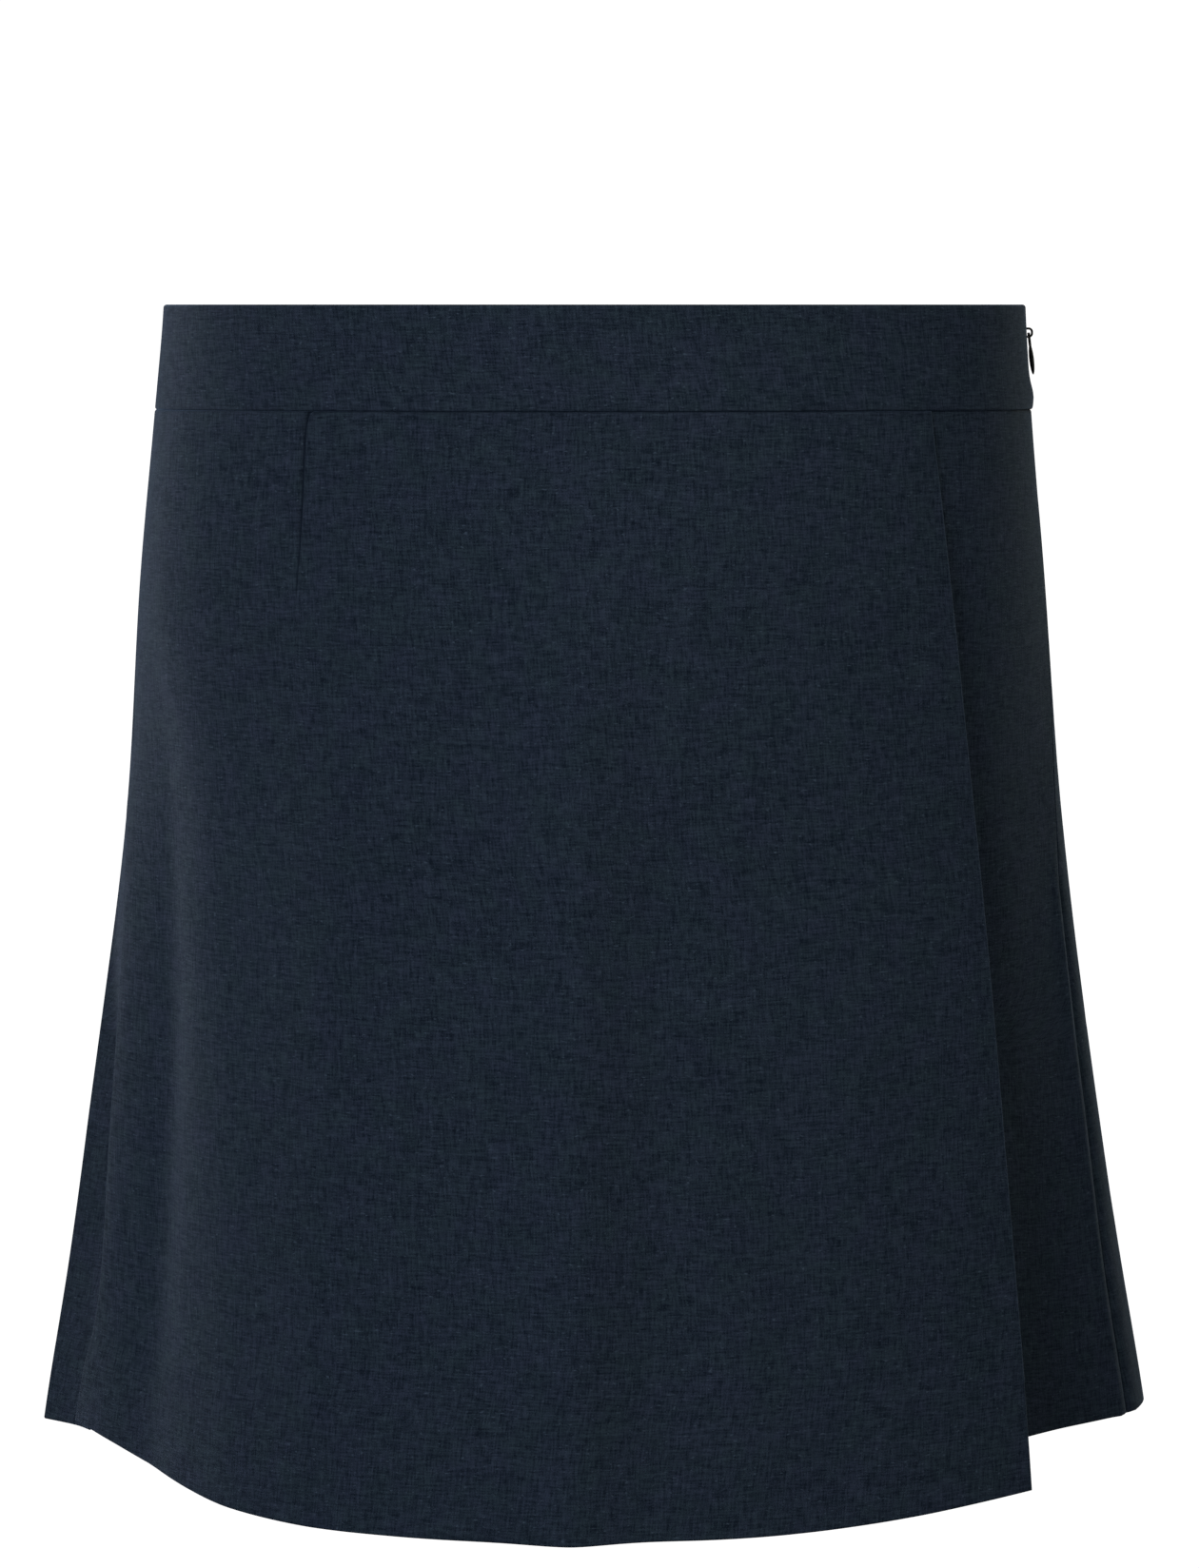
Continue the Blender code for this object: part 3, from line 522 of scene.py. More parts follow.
def add_piece(name, verts, face_sets, finish, maps=(), body="garment"):
    """A mesh piece from arrays of faces. maps are (name, places for each vertex)."""
    mesh = bpy.data.meshes.new(name)
    mesh.vertices.add(len(verts))
    mesh.vertices.foreach_set("co", np.asarray(verts, np.float32).ravel())
    corners = np.concatenate([faces.ravel() for faces in face_sets]).astype(np.int32)
    counts = np.concatenate([np.full(len(faces), faces.shape[1]) for faces in face_sets])
    mesh.loops.add(len(corners))
    mesh.loops.foreach_set("vertex_index", corners)
    mesh.polygons.add(len(counts))
    starts = np.concatenate([[0], np.cumsum(counts)[:-1]]).astype(np.int32)
    mesh.polygons.foreach_set("loop_start", starts)
    mesh.update(calc_edges=True)
    mesh.validate()
    for map_name, places in maps:
        layer = mesh.uv_layers.new(name=map_name)
        layer.uv.foreach_set("vector", places[corners].astype(np.float32).ravel())
    mesh.shade_smooth()
    mesh.materials.append(finish)
    made = bpy.data.objects.new(name, mesh)
    bpy.context.scene.collection.objects.link(made)
    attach(made, body)
    return made


def tubes(name, lines, radius, finish):
    """Closed round wires, one along each line of points, as one piece."""
    verts, quads, caps = [], [], []
    turn = 2 * math.pi * np.arange(TUBE_SIDES) / TUBE_SIDES
    base = 0
    for line in lines:
        line = np.asarray(line)
        along = np.gradient(line, axis=0)
        along /= np.linalg.norm(along, axis=1, keepdims=True)
        helper = np.where(np.abs(along[:, 2:]) < 0.9, [[0, 0, 1.0]], [[0, 1.0, 0]])
        side = np.cross(along, helper)
        side /= np.linalg.norm(side, axis=1, keepdims=True)
        up = np.cross(side, along)
        ring_points = side[:, None] * np.cos(turn)[:, None] + up[:, None] * np.sin(turn)[:, None]
        size = np.full(len(line), radius)
        size[[0, -1]] *= TUBE_END
        verts.append((line[:, None] + ring_points * size[:, None, None]).reshape(-1, 3))
        at = base + np.arange(len(line) * TUBE_SIDES).reshape(len(line), TUBE_SIDES)
        beside = np.roll(at, -1, axis=1)
        quads.append(np.stack([at[:-1], at[1:], beside[1:], beside[:-1]], -1).reshape(-1, 4))
        caps += [at[:1], at[-1:, ::-1]]
        base += len(line) * TUBE_SIDES
    faces = [np.concatenate(quads), np.concatenate(caps)]
    return add_piece(name, np.concatenate(verts), faces, finish)


def shell(name, outer, inner, weave, edge_map, seam_map):
    """A closed shell: two sides of a grid that share their border's points."""
    rows, cols = outer.shape[:2]
    outer_at = np.arange(rows * cols).reshape(rows, cols)
    inner_at = outer_at.copy()
    inside = np.arange((rows - 2) * (cols - 2)).reshape(rows - 2, cols - 2)
    inner_at[1:-1, 1:-1] = rows * cols + inside
    verts = np.concatenate([outer.reshape(-1, 3), inner[1:-1, 1:-1].reshape(-1, 3)])

    def quads(at, flip):
        made = np.stack([at[:-1, :-1], at[:-1, 1:], at[1:, 1:], at[1:, :-1]], -1).reshape(-1, 4)
        return made[:, ::-1] if flip else made

    a, b, c = outer[0, 0], outer[rows // 2, cols // 2], outer[rows // 2, cols // 2 + 1]
    down = outer[rows // 2 + 1, cols // 2] - b
    facing_out = np.dot(np.cross(c - b, down), b - inner[rows // 2, cols // 2]) > 0
    faces = [quads(outer_at, not facing_out), quads(inner_at, facing_out)]

    def both(places):
        return np.concatenate([places.reshape(-1, 2), places[1:-1, 1:-1].reshape(-1, 2)])

    maps = [("weave", both(weave)), ("edges", both(edge_map)), ("seams", both(seam_map))]
    return add_piece(name, verts, faces, suiting, maps)


def row_places(top, bottom, fixed=()):
    """Nominal drops from the top edge to the hem, close together at both, and through fixed."""
    ends = [top, *fixed, bottom]
    made = [top + NEAR_EDGE]
    for n, (a, b) in enumerate(zip(ends, ends[1:])):
        first = a + NEAR_EDGE[-1] if n == 0 else a
        last = b - NEAR_EDGE[-1] if n == len(ends) - 2 else b
        count = max(1, round((last - first) / STEP))
        made.append(np.linspace(first, last, count + 1)[1:])
    made.append(bottom - NEAR_EDGE[:-1][::-1])
    return np.concatenate(made)


def panel(name, side, drops, counts, marks, bottom_at, edges_at, grain, dart=None):
    """A cloth panel's shell. bottom_at gives the hem's drop from a place on it, and marks and
    dart the shares across where a line down the panel lies on each row. grain is the share
    across that the weave runs straight down from, and where the piece's stretch of it starts."""
    shares, places, totals = columns(side, drops, counts, marks)
    nominal = np.repeat(drops[:, None], shares.shape[1], axis=1)
    top, bottom = drops[0], drops[-1]
    near_top = 1 - ease((nominal - top - TOP_MOVED) / TOP_MOVED_BY)
    near_hem = ease((nominal - (bottom - HEM_MOVED)) / HEM_MOVED_BY)
    top_y = side(nominal[:1], shares[:1], 0.0)[..., 1]
    actual = nominal
    for _ in range(3):
        low = side(actual[-1:], shares[-1:], 0.0)
        top_drop, bottom_drop = waist_seam(top_y), bottom_at(low[..., 0], shares[-1:])
        actual = nominal + (top_drop - top) * near_top + (bottom_drop - bottom) * near_hem
    thickness = hemmed(bottom_drop - actual)
    edges = edges_at(places, totals - places, actual - top_drop, bottom_drop - actual, thickness)
    out, into = walls(thickness, edges)
    outer = side(actual, shares, out)
    inner = side(actual, shares, into)
    base = side(actual, shares, 0.0)
    darts = []
    if dart is not None:
        beyond = np.maximum(0, actual - DART_END) * DART_TIP
        darts = [np.abs(shares - dart[:, None]) * totals + beyond]
    weave = np.stack([places - grain[0] * totals + grain[1], lengths(base, 0)], -1)
    edge_map = np.stack([places, bottom_drop - actual], -1)
    return shell(name, outer, inner, weave, edge_map, seam_places(edges, darts))


def seam_places(edges, darts=()):
    """Metres from the nearest sewn edge, and from a side edge that hangs free."""
    sewn, loose = [*darts], []
    for away, edge in edges:
        if edge is SEAM or edge is WAIST_SEAM:
            sewn.append(away)
        elif edge.depth is edge.radius:
            loose.append(away)
    nearest = np.minimum.reduce([np.minimum(away, FAR) for away in sewn])
    hanging = np.minimum(loose[0], FAR) if len(loose) > 1 else np.full_like(nearest, FAR)
    return np.stack([nearest, hanging], -1)


def hemmed(above):
    """A panel's thickness at a height above its hem's edge."""
    return CLOTH + (HEM_CLOTH - CLOTH) * ease((HEM_TURN + HEM_RIDGE - above) / HEM_RIDGE)


# Materials


class Tree:
    """A material's nodes. A number, a colour or another node's output may go into any input."""

    def __init__(self, name):
        self.material = bpy.data.materials.new(name)
        self.material.use_nodes = True
        self.nodes = self.material.node_tree.nodes
        self.shader = self.nodes["Principled BSDF"]

    def link(self, value, socket):
        if isinstance(value, bpy.types.NodeSocket):
            self.material.node_tree.links.new(value, socket)
        elif value is not None:
            socket.default_value = value

    def add(self, kind, *inputs, out=0, **settings):
        node = self.nodes.new("ShaderNode" + kind)
        for key, value in settings.items():
            setattr(node, key, value)
        for socket, value in zip(node.inputs, inputs):
            self.link(value, socket)
        return node.outputs[out]

    def math(self, operation, *inputs):
        return self.add("Math", *inputs, operation=operation)

    def weighed(self, value, middle, weight):
        """How far a value is from its middle, times a weight."""
        return self.math("MULTIPLY", self.math("SUBTRACT", value, middle), weight)

    def separate(self, vector):
        node = self.nodes.new("ShaderNodeSeparateXYZ")
        self.link(vector, node.inputs[0])
        return node.outputs[0], node.outputs[1]

    def noise(self, x, y, z, detail=2.0, roughness=0.55, scale=1.0):
        at = self.add("CombineXYZ", x, y, z)
        made = self.nodes.new("ShaderNodeTexNoise")
        self.link(at, made.inputs["Vector"])
        made.inputs["Scale"].default_value = scale
        made.inputs["Detail"].default_value = detail
        made.inputs["Roughness"].default_value = roughness
        return made.outputs[0]

    def range(self, value, low, high, new_low=0.0, new_high=1.0):
        return self.add("MapRange", value, low, high, new_low, new_high)

    def mix(self, share, a, b):
        node = self.nodes.new("ShaderNodeMix")
        node.data_type = "RGBA"
        for name, value in (("Factor", share), ("A", a), ("B", b)):
            socket = [s for s in node.inputs if s.name == name and s.enabled][0]
            self.link(value, socket)
        return [s for s in node.outputs if s.enabled][0]

    def set(self, **values):
        for key, value in values.items():
            self.link(value, self.shader.inputs[key.replace("_", " ")])


YARN = 0.00052
YARN_KEY = 3.137  # any number that isn't whole, so that neighbouring yarns differ
SLUB = 0.0032
LONG_SLUB = 0.016
LONG_SHARE = 0.28  # of the long slubs in a yarn's tone
WANDER = 0.0016
WANDER_FAST, WANDER_SLOW = 12.0, 9.0  # for each metre
STREAK = 0.00062  # width of the melange's streaks, which run over a few yarns
STREAK_LENGTH = 0.0052
STREAK_WEIGHT = 0.68
PATCHES, PATCH_WEIGHT = 55.0, 0.06
GRAIN = 0.0006
GRAIN_WEIGHT = 0.22
DARKEST, LIGHTEST = 0.22, 0.80  # the tones that get the full dark and light colours
HUES, HUE_FROM, HUE_TO = 90.0, 0.35, 0.65
DARK = (0.0052, 0.0085, 0.0145, 1)
LIGHT = (0.0215, 0.0290, 0.0485, 1)
GREYED = (0.0195, 0.0308, 0.0425, 1)  # the light yarns' other hue
PALE = (0.0360, 0.0520, 0.0760, 1)
FLECK = 0.0007
FLECK_LENGTH = 0.0016
FLECK_FROM, FLECK_TO, FLECK_SHARE = 0.73, 0.85, 0.7
STITCH_PITCH = 0.0062
STITCH_SHARE = 0.16  # of the pitch that a hem's stitch takes
STITCH_UNEVEN = 0.2
HEM_LINE = 0.0009
HEM_DRAWN, HEM_DIP = 0.30, 0.55  # how drawn in its line is, and what a stitch adds
# The first of these is how much painted shade darkens the colour along the hem's drawn-in line
HEM_PAINTED_SHADE, HEM_DEEP = 0.55, 2.0  # what that does to the colour and the height
# Width and strength of the painted shade along a sewn seam's groove
SEAM_SHADE_WIDTH, SEAM_PAINTED_SHADE = 0.00055, 0.92
# Width and strength of the painted highlight along a free edge
EDGE_HIGHLIGHT_WIDTH, EDGE_HIGHLIGHT_SHARE = 0.0008, 0.45
YARN_HEIGHT, TONE_HEIGHT = 0.00012, 0.4  # a light yarn also stands higher
SHEEN_TINT = (0.42, 0.63, 1.0, 1)


def wandering(t, u, v):
    """Places on the cloth whose yarns don't lie ruler straight."""
    moved = []
    across, down = (WANDER_FAST, WANDER_SLOW, 1.3), (WANDER_SLOW, WANDER_FAST, 8.1)
    for place, (by_u, by_v, layer) in ((u, across), (v, down)):
        wave = t.noise(t.math("MULTIPLY", u, by_u), t.math("MULTIPLY", v, by_v), layer)
        moved.append(t.math("ADD", place, t.math("MULTIPLY", wave, WANDER)))
    return moved


def suiting_material(name):
    t = Tree(name)
    u, v = wandering(t, *t.separate(t.add("UVMap", uv_map="weave")))
    warp_at, weft_at = t.math("DIVIDE", u, YARN), t.math("DIVIDE", v, YARN)
    warp, weft = t.math("FLOOR", warp_at), t.math("FLOOR", weft_at)
    over = t.math("FLOORED_MODULO", t.math("ADD", warp, weft), 2.0)
    tones = []
    for yarn, along, layer in ((warp, v, 0.37), (weft, u, 5.71)):
        key = t.math("MULTIPLY", yarn, YARN_KEY)
        short = t.noise(key, t.math("DIVIDE", along, SLUB), layer, 2.0, 0.65)
        long = t.noise(key, t.math("DIVIDE", along, LONG_SLUB), layer + 2.2, 1.0)
        short = t.math("MULTIPLY", short, 1 - LONG_SHARE)
        tones.append(t.math("ADD", short, t.math("MULTIPLY", long, LONG_SHARE)))
    pick = t.nodes.new("ShaderNodeMix")
    t.link(over, pick.inputs[0])
    t.link(tones[0], pick.inputs[2])
    t.link(tones[1], pick.inputs[3])
    tone = pick.outputs[0]
    streaks = t.math(
        "ADD",
        t.noise(t.math("DIVIDE", u, STREAK), t.math("DIVIDE", v, STREAK_LENGTH), 3.3, 1.0),
        t.noise(t.math("DIVIDE", u, STREAK_LENGTH), t.math("DIVIDE", v, STREAK), 9.4, 1.0),
    )
    patch = t.noise(t.math("MULTIPLY", u, PATCHES), t.math("MULTIPLY", v, PATCHES), 2.9, 3.0)
    grain = t.noise(t.math("DIVIDE", u, GRAIN), t.math("DIVIDE", v, GRAIN), 6.2, 1.0)
    tone = t.math("ADD", tone, t.weighed(streaks, 1.0, STREAK_WEIGHT))
    tone = t.math("ADD", tone, t.weighed(patch, 0.5, PATCH_WEIGHT))
    tone = t.math("ADD", tone, t.weighed(grain, 0.5, GRAIN_WEIGHT))
    contrast = t.range(tone, DARKEST, LIGHTEST)
    hue = t.noise(t.math("MULTIPLY", u, HUES), t.math("MULTIPLY", v, HUES), 4.6, 3.0)
    colour = t.mix(contrast, DARK, t.mix(t.range(hue, HUE_FROM, HUE_TO), LIGHT, GREYED))
    flecks = t.noise(t.math("DIVIDE", u, FLECK_LENGTH), t.math("DIVIDE", v, FLECK), 12.7, 0.0)
    colour = t.mix(t.range(flecks, FLECK_FROM, FLECK_TO, 0.0, FLECK_SHARE), colour, PALE)
    # The hem's blind stitches draw the cloth in along a faint line, with a small dip at each;
    # painted shade darkens the colour there, and the bump sinks it.
    along, above = t.separate(t.add("UVMap", uv_map="edges"))
    line = t.range(t.math("ABSOLUTE", t.math("SUBTRACT", above, HEM_TURN)), 0.0, HEM_LINE, 1.0, 0.0)
    dip = t.math("LESS_THAN", t.math("FRACT", t.math("DIVIDE", along, STITCH_PITCH)), STITCH_SHARE)
    dipped = t.math("ADD", t.math("MULTIPLY", dip, HEM_DIP), HEM_DRAWN)
    drawn_in = t.math("MULTIPLY", line, dipped)
    colour = t.mix(t.math("MULTIPLY", drawn_in, HEM_PAINTED_SHADE), colour, DARK)
    # Painted shade darkens a sewn seam's groove, where the cloth is drawn down to the thread, and a
    # painted highlight pales a free edge.
    from_seam, from_edge = t.separate(t.add("UVMap", uv_map="seams"))
    colour = t.mix(t.range(from_seam, SEAM_SHADE_WIDTH, 0.0, 0.0, SEAM_PAINTED_SHADE), colour, DARK)
    # Painted highlight: the colour is paled along a free edge.
    edge_highlight = t.range(from_edge, EDGE_HIGHLIGHT_WIDTH, EDGE_HIGHLIGHT_WIDTH / 2, 0.0, EDGE_HIGHLIGHT_SHARE)
    colour = t.mix(edge_highlight, colour, PALE)
    # Each yarn is round, and dips where the other one crosses over it.
    round_warp = t.math("SINE", t.math("MULTIPLY", t.math("FRACT", warp_at), math.pi))
    round_weft = t.math("SINE", t.math("MULTIPLY", t.math("FRACT", weft_at), math.pi))
    height = t.math("MULTIPLY", round_warp, round_weft)
    height = t.math("ADD", height, t.math("MULTIPLY", contrast, TONE_HEIGHT))
    height = t.math("SUBTRACT", height, t.math("MULTIPLY", drawn_in, HEM_DEEP))
    bump = t.nodes.new("ShaderNodeBump")
    bump.inputs["Strength"].default_value = 0.35
    bump.inputs["Distance"].default_value = YARN_HEIGHT
    t.link(height, bump.inputs["Height"])
    roughness = t.range(contrast, 0.0, 1.0, 0.85, 0.72)
    t.set(Base_Color=colour, Roughness=roughness, Normal=bump.outputs[0])
    t.set(Sheen_Weight=0.15, Sheen_Roughness=0.35, Sheen_Tint=SHEEN_TINT)
    t.set(Specular_IOR_Level=0.03, Specular_Tint=SHEEN_TINT)
    return t.material


Grain = namedtuple("Grain", "scale tone height")


def plain_material(name, colour, roughness, grain, gloss=0.3):
    """A painted or twisted surface: its colour and height vary with a fine noise."""
    t = Tree(name)
    place = t.add("TexCoord", out=3)
    node = t.nodes.new("ShaderNodeTexNoise")
    t.link(place, node.inputs["Vector"])
    node.inputs["Scale"].default_value = grain.scale
    node.inputs["Detail"].default_value = 3.0
    shade = t.range(node.outputs[0], 0.3, 0.7, 1 - grain.tone, 1 + grain.tone)
    tint = t.nodes.new("ShaderNodeVectorMath")
    tint.operation = "SCALE"
    tint.inputs[0].default_value = colour
    t.link(shade, tint.inputs["Scale"])
    bump = t.nodes.new("ShaderNodeBump")
    bump.inputs["Strength"].default_value = 0.3
    bump.inputs["Distance"].default_value = grain.height
    t.link(node.outputs[0], bump.inputs["Height"])
    rough = t.range(node.outputs[0], 0.3, 0.7, roughness - 0.06, roughness + 0.06)
    t.set(Base_Color=tint.outputs[0], Roughness=rough, Normal=bump.outputs[0])
    t.set(Specular_IOR_Level=gloss)
    return t.material


suiting = suiting_material("navy_melange_suiting")
tape_finish = plain_material(
    "navy_zip_tape", (0.010, 0.013, 0.020), 0.88, Grain(900.0, 0.15, 0.00004)
)
metal = plain_material(
    "black_zip_metal", (0.006, 0.007, 0.008), 0.50, Grain(2500.0, 0.2, 0.00001), gloss=0.12
)
thread = plain_material("navy_thread", (0.020, 0.027, 0.040), 0.62, Grain(3500.0, 0.25, 0.00003))

# The cloth panels


def hem_stitches(name, side, bottom_at, bottom):
    """The small slanted stitches inside that hold the turned-up hem."""
    fine = np.linspace(0, 1, 801)
    along = row_lengths(side, bottom, fine)
    count = int(along[-1] / STITCH_PITCH)
    chance = np.random.default_rng(len(name))
    uneven = chance.uniform(-STITCH_UNEVEN, STITCH_UNEVEN, (count, 1))
    places = (np.arange(count)[:, None] + 0.5 + uneven) * along[-1] / count
    shares = np.interp(places + np.array(STITCH.along), along, fine)
    low = side(np.full_like(shares, bottom), shares, 0.0)
    low = side(bottom_at(low[..., 0], shares) + 0 * shares, shares, 0.0)
    drops = bottom_at(low[..., 0], shares) - np.array(STITCH.above)
    lines = side(drops, shares, np.array(STITCH.inset) + 0 * shares)
    tubes(name, lines, THREAD, thread)


def allowance(name, side, top, hem, end):
    """A seam allowance pressed open inside, along a panel's start (0) or its end (1)."""
    drops = np.linspace(top, hem - HEM_TURN - HEM_CLEAR, ALLOWANCE_ROWS)
    shares, places = [], []
    across = ALLOWANCE * ALLOWANCE_COLUMNS + ALLOWANCE_IN
    for drop in drops:
        along = row_lengths(side, drop)
        at = along[-1] - across if end else across
        shares.append(np.interp(at, along, DENSE))
        places.append(at)
    shares, places = np.array(shares), np.array(places)
    rows = np.repeat(drops[:, None], shares.shape[1], axis=1)
    from_seam = across - across[0] + 0 * rows
    borders = (from_seam, ALLOWANCE - from_seam, rows - top, drops[-1] - rows)
    out, into = walls(ALLOWANCE_CLOTH, [(away, free(ALLOWANCE_CLOTH)) for away in borders])
    outer = side(rows, shares, CLOTH + LAID + out)
    inner = side(rows, shares, CLOTH + LAID + into)
    weave = np.stack([places, rows], -1)
    no_hem = np.stack([places, rows + 1.0], -1)
    shell(name, outer, inner, weave, no_hem, np.full((*rows.shape, 2), FAR))


def side_turn(side, drops):
    """A back panel's share across at its silhouette, on each row."""
    form, sides = smooth(FORM, "drop", drops), smooth(SIDES, "drop", drops)
    seam = np.maximum(0, sides.left_seam if side > 0 else sides.right_seam)
    return np.maximum(silhouette(np.arccos(1 - seam / form.half_width)), TURN_LEAST)


def make_leg(side, front):
    """One leg's front or back, with its hem's stitches and its allowances."""
    node = f"shorts_{'front' if front else 'back'}_{'left' if side > 0 else 'right'}"
    outer, hem_drop = shorts_side(side, front), SHORTS_HEM[side]
    drops = row_places(WAIST_SEAM_SIDE, hem_drop, (CROTCH_START,))
    crotch_turns = np.linspace(0, math.pi / 2, CROTCH_ROWS)[1:]
    crotch_rows = CROTCH_START + (CROTCH - CROTCH_START) * np.sin(crotch_turns)
    above, below = drops[drops < CROTCH_START + 1e-6], drops[drops > CROTCH + CROTCH_CLEAR]
    drops = np.concatenate([above, crotch_rows, below])

    def bottom(x, share):
        rise = SHORTS_HEM_RISE * ease(share / SHORTS_HEM_RISE_BY) if front else 0.0
        return hem_drop - rise + 0.0 * x

    def edges(seam, centre, top, hem, thickness):
        upper = WAIST_SEAM
        if front:  # it meets the band's edge, though it lies deeper
            sunk = UNDER_WAIST[side] * settled(seam / WAIST_RING)
            upper = WAIST_SEAM._replace(depth=np.maximum(0, WAIST_SEAM.depth - sunk))
        return [(seam, SEAM), (centre, SEAM), (top, upper), (hem, free(thickness))]

    creased = side < 0 and not front
    made = panel(
        f"{node}_cloth", outer, drops, CREASED_COLUMNS if creased else LEG_COLUMNS,
        (side_turn(side, drops),) if creased else (), bottom, edges,
        (0.5, 2.0 + side + 0.5 * front),
    )
    hem_stitches(f"{node}_hem_stitches", outer, bottom, hem_drop)
    side_top = ZIP_END + ZIP_CLEAR if side > 0 else ALLOWANCE_TOP
    allowance(f"{node}_side_allowance", outer, side_top, hem_drop, 0)
    allowance(f"{node}_centre_allowance", outer, ALLOWANCE_TOP, hem_drop, 1)
    return node, made


def make_wrap():
    """The wrap panel. In the view its left edge is in the side seam, and its right one is free."""
    def bottom(x, share):
        return smooth(WRAP_HEM, "x", x).drop

    def edges(left, right, top, hem, thickness):
        cut = free(thickness)
        return [(left, SEAM), (right, cut), (top, WAIST_SEAM), (hem, cut)]

    drops = row_places(WAIST_SEAM_SIDE, WRAP_LOWEST, (SLIT_DROP,))
    left, dart, right = wrap_ends(drops)
    share = (dart - left) / (right - left)
    made = panel(
        "wrap_panel_cloth", wrap_side, drops, WRAP_COLUMNS, (share,), bottom, edges,
        (0.5, 0.0), dart=share,
    )
    hem_stitches("wrap_panel_hem_stitches", wrap_side, bottom, WRAP_LOWEST)
    return "wrap_panel", made


def make_band(front):
    """Half the waistband, folded along its top edge."""
    node = f"waistband_{'front' if front else 'back'}"
    side = band_side(front)
    drops = row_places(0.0, WAIST_SEAM_SIDE)
    shares, places, totals = columns(side, drops, BAND_COLUMNS)
    nominal = np.repeat(drops[:, None], shares.shape[1], axis=1)
    low = waist_seam(side(nominal[-1:], shares[-1:], 0.0)[..., 1])
    actual = nominal * low / WAIST_SEAM_SIDE
    thickness = np.full_like(actual, BAND_CLOTH)
    edges = [
        (places, SEAM), (totals - places, SEAM), (actual, free(thickness)),
        (low - actual, WAIST_SEAM),
    ]
    out, into = walls(thickness, edges)
    weave = np.stack([places + (6.0 if front else 8.0), actual], -1)
    no_hem = np.stack([places, low - actual + 1.0], -1)
    outer, inner = side(actual, shares, out), side(actual, shares, into)
    return node, shell(f"{node}_cloth", outer, inner, weave, no_hem, seam_places(edges))


def make_cloth():
    """Each node's cloth piece. Every piece has its own stretch of the weave."""
    made = [make_leg(side, front) for side in (1, -1) for front in (True, False)]
    made = dict([*made, make_wrap(), make_band(True), make_band(False)])
    for node, piece in made.items():
        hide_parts(node)
    return made


def make_zip_coils():
    """The two coils of the zip, closed, behind its tape."""
    turns = (ZIP_END - ZIP_TOP) / COIL_PITCH
    turn = np.linspace(0, 2 * math.pi * turns, int(turns * COIL_STEPS))
    drop = ZIP_TOP + turn / (2 * math.pi) * COIL_PITCH
    form, sides = smooth(FORM, "drop", drop), smooth(SIDES, "drop", drop)
    below = ease((drop - WAIST_SEAM_SIDE - TAPE_MOVED) / TAPE_MOVED_BY)
    inset = TAPE_INSET[0] + (TAPE_INSET[1] - TAPE_INSET[0]) * below + COIL_RADIUS + 2 * COIL_WIRE
    x, y = ring(form, np.arccos(1 - np.maximum(0, sides.left_seam) / form.half_width), inset)
    lines = []
    for way in (1, -1):
        swing = y + way * COIL_APART + COIL_RADIUS * np.sin(way * turn)
        lines.append(points(x + form.centre_x + COIL_RADIUS * np.cos(turn), swing, drop))
    tubes("zip_coils", lines, COIL_WIRE, tape_finish)


cloth = make_cloth()
make_zip_coils()
ZIP_FINISHES = {"zip_slider": metal, "zip_pull_tab": metal, "zip_tape": tape_finish}
for name, finish in ZIP_FINISHES.items():
    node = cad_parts[name]
    for slot in node.material_slots:
        slot.link = "OBJECT"
        slot.material = finish

# Each cloth piece's flat cut: width and length in metres, and the area of what shows
Cut = namedtuple("Cut", "node width length area rests_on")
BANDS = ("waistband_front", "waistband_back")
CUTS = [
    Cut("waistband_front", 0.416, 0.0385, 0.0156, ()),
    Cut("waistband_back", 0.422, 0.0385, 0.0159, ()),
    Cut("wrap_panel", 0.402, 0.390, 0.1396, BANDS[:1]),
    Cut("shorts_front_left", 0.318, 0.439, 0.0912, BANDS[:1]),
    Cut("shorts_front_right", 0.300, 0.440, 0.0872, BANDS[:1]),
    Cut("shorts_back_left", 0.378, 0.448, 0.1066, BANDS[1:]),
    Cut("shorts_back_right", 0.402, 0.448, 0.1106, BANDS[1:]),
]
for cut in CUTS:
    rests_on = [cloth[node].name for node in cut.rests_on]

# Stage, light and camera

CAMERA_AT = (0.0012, -1.80, 0.019)
CAMERA_PITCH = math.radians(84.44)
LENS, SENSOR = 113.10, 36.0
ROOM_RADIUS, ROOM_CURVE, ROOM_HOLE = 5.0, 1.5, 0.02
ROOM_SIDES, ROOM_CURVE_STEPS = 48, 8
FLOOR_Z = -3.1


def make_stage():
    """A pale round room: a floor that curves up into its wall. It isn't what lights the cloth."""
    flat = ROOM_RADIUS - ROOM_CURVE
    profile = [(ROOM_HOLE, FLOOR_Z)]
    for turn in np.linspace(0, math.pi / 2, ROOM_CURVE_STEPS + 1):
        across, up = ROOM_CURVE * math.sin(turn), ROOM_CURVE * (1 - math.cos(turn))
        profile.append((flat + across, FLOOR_Z + up))
    profile += [(r, -z) for r, z in reversed(profile)]
    around = [2 * math.pi * n / ROOM_SIDES for n in range(ROOM_SIDES)]
    verts = np.array([(r * math.cos(a), r * math.sin(a), z) for r, z in profile for a in around])
    faces = []
    for low in range(0, ROOM_SIDES * (len(profile) - 1), ROOM_SIDES):
        for k in range(ROOM_SIDES):
            beside, high = (k + 1) % ROOM_SIDES, low + ROOM_SIDES
            faces.append((low + k, low + beside, high + beside, high + k))
    t = Tree("pale_room")
    t.set(Base_Color=(0.93, 0.93, 0.93, 1), Roughness=0.9, Emission_Color=(1, 1, 1, 1))
    t.set(Emission_Strength=0.97)
    mesh = bpy.data.meshes.new("studio_room")
    mesh.from_pydata(verts.tolist(), [], faces)
    mesh.shade_smooth()
    mesh.materials.append(t.material)
    room = bpy.data.objects.new("studio_room", mesh)
    bpy.context.scene.collection.objects.link(room)
    room.visible_diffuse = room.visible_glossy = room.visible_shadow = False


LIT_MIDDLE = Vector((0.0, 0.0, -0.19))
STRIP, PANEL = (0.30, 1.5), (1.1, 1.1)

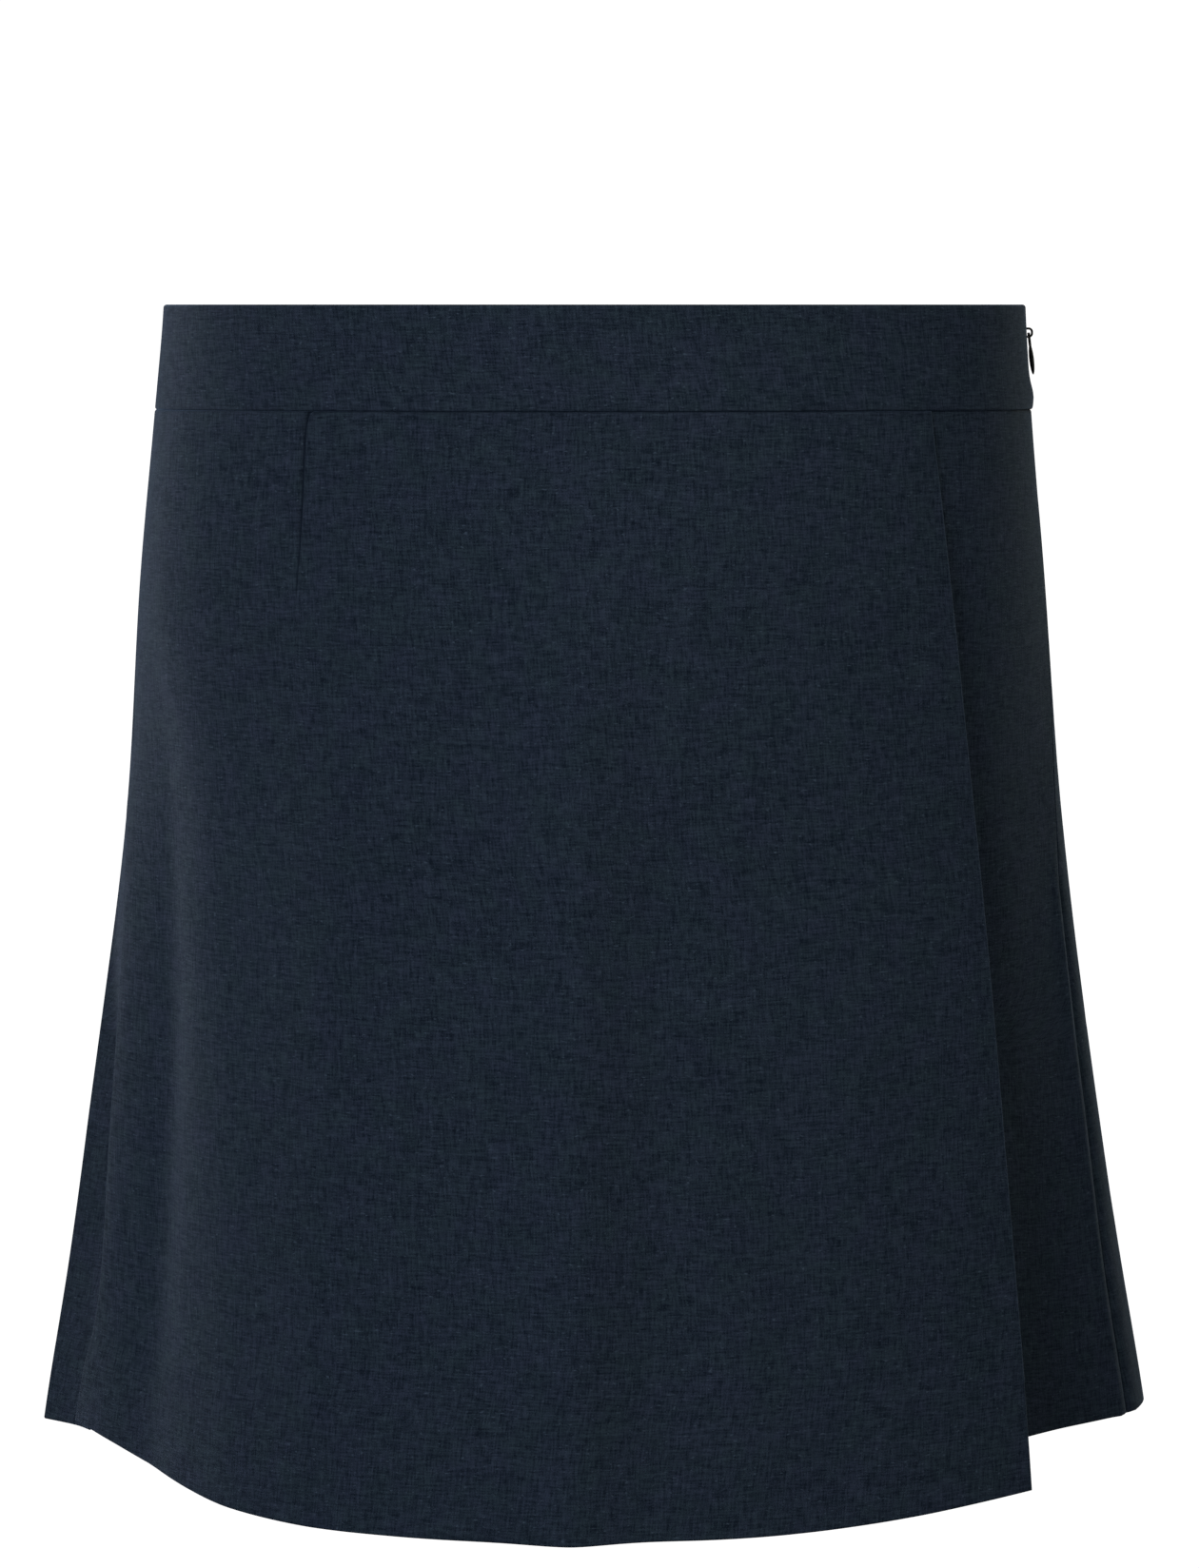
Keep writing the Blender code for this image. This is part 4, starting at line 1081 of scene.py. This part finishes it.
# Soft lights, each by its angle round from the front towards the wearer's left, and its watts
WHITE, COOL = (1.0, 1.0, 1.0), (0.97, 1.0, 1.08)
WARM, WARMEST = (1.04, 1.0, 0.86), (1.0, 0.97, 0.74)
Light = namedtuple("Light", "name azimuth elevation distance size watts colour")
LIGHTS = [
    Light("side_strip", -100, 4, 1.9, STRIP, 7.4, WHITE),
    Light("side_strip_behind", -115, 4, 1.9, STRIP, 16.1, WHITE),
    Light("rim_strip", -130, 4, 1.9, STRIP, 10.8, WHITE),
    Light("far_rim_strip", 135, 4, 1.9, STRIP, 6.0, WARMEST),
    Light("front_panel", -25, 8, 2.3, PANEL, 27.9, COOL),
    Light("high_left", -30, 45, 2.2, PANEL, 3.6, WHITE),
    Light("high_right", 30, 45, 2.2, PANEL, 25.1, WARM),
    Light("back_panel", 175, 30, 2.3, PANEL, 17.0, WHITE),
]
WORLD_STRENGTH = 0.05


def make_light():
    world = bpy.data.worlds.new("studio")
    world.use_nodes = True
    world.node_tree.nodes["Background"].inputs[0].default_value = (1, 1, 1, 1)
    world.node_tree.nodes["Background"].inputs[1].default_value = WORLD_STRENGTH
    bpy.context.scene.world = world
    for light in LIGHTS:
        a, e = math.radians(light.azimuth), math.radians(light.elevation)
        away = Vector((math.sin(a) * math.cos(e), -math.cos(a) * math.cos(e), math.sin(e)))
        data = bpy.data.lights.new(light.name, "AREA")
        data.shape = "RECTANGLE"
        data.size, data.size_y = light.size
        data.energy = light.watts
        data.color = light.colour
        made = bpy.data.objects.new(light.name, data)
        made.location = LIT_MIDDLE + away * light.distance
        made.rotation_euler = away.to_track_quat("Z", "Y").to_euler()
        bpy.context.scene.collection.objects.link(made)


def make_camera():
    data = bpy.data.cameras.new("camera")
    data.lens, data.sensor_width = LENS, SENSOR
    data.clip_start, data.clip_end = 0.05, 50.0
    made = bpy.data.objects.new("camera", data)
    made.location = CAMERA_AT
    made.rotation_euler = (CAMERA_PITCH, 0.0, 0.0)
    bpy.context.scene.collection.objects.link(made)
    bpy.context.scene.camera = made


make_stage()
make_light()
make_camera()
bpy.context.scene.view_settings.view_transform = "Standard"
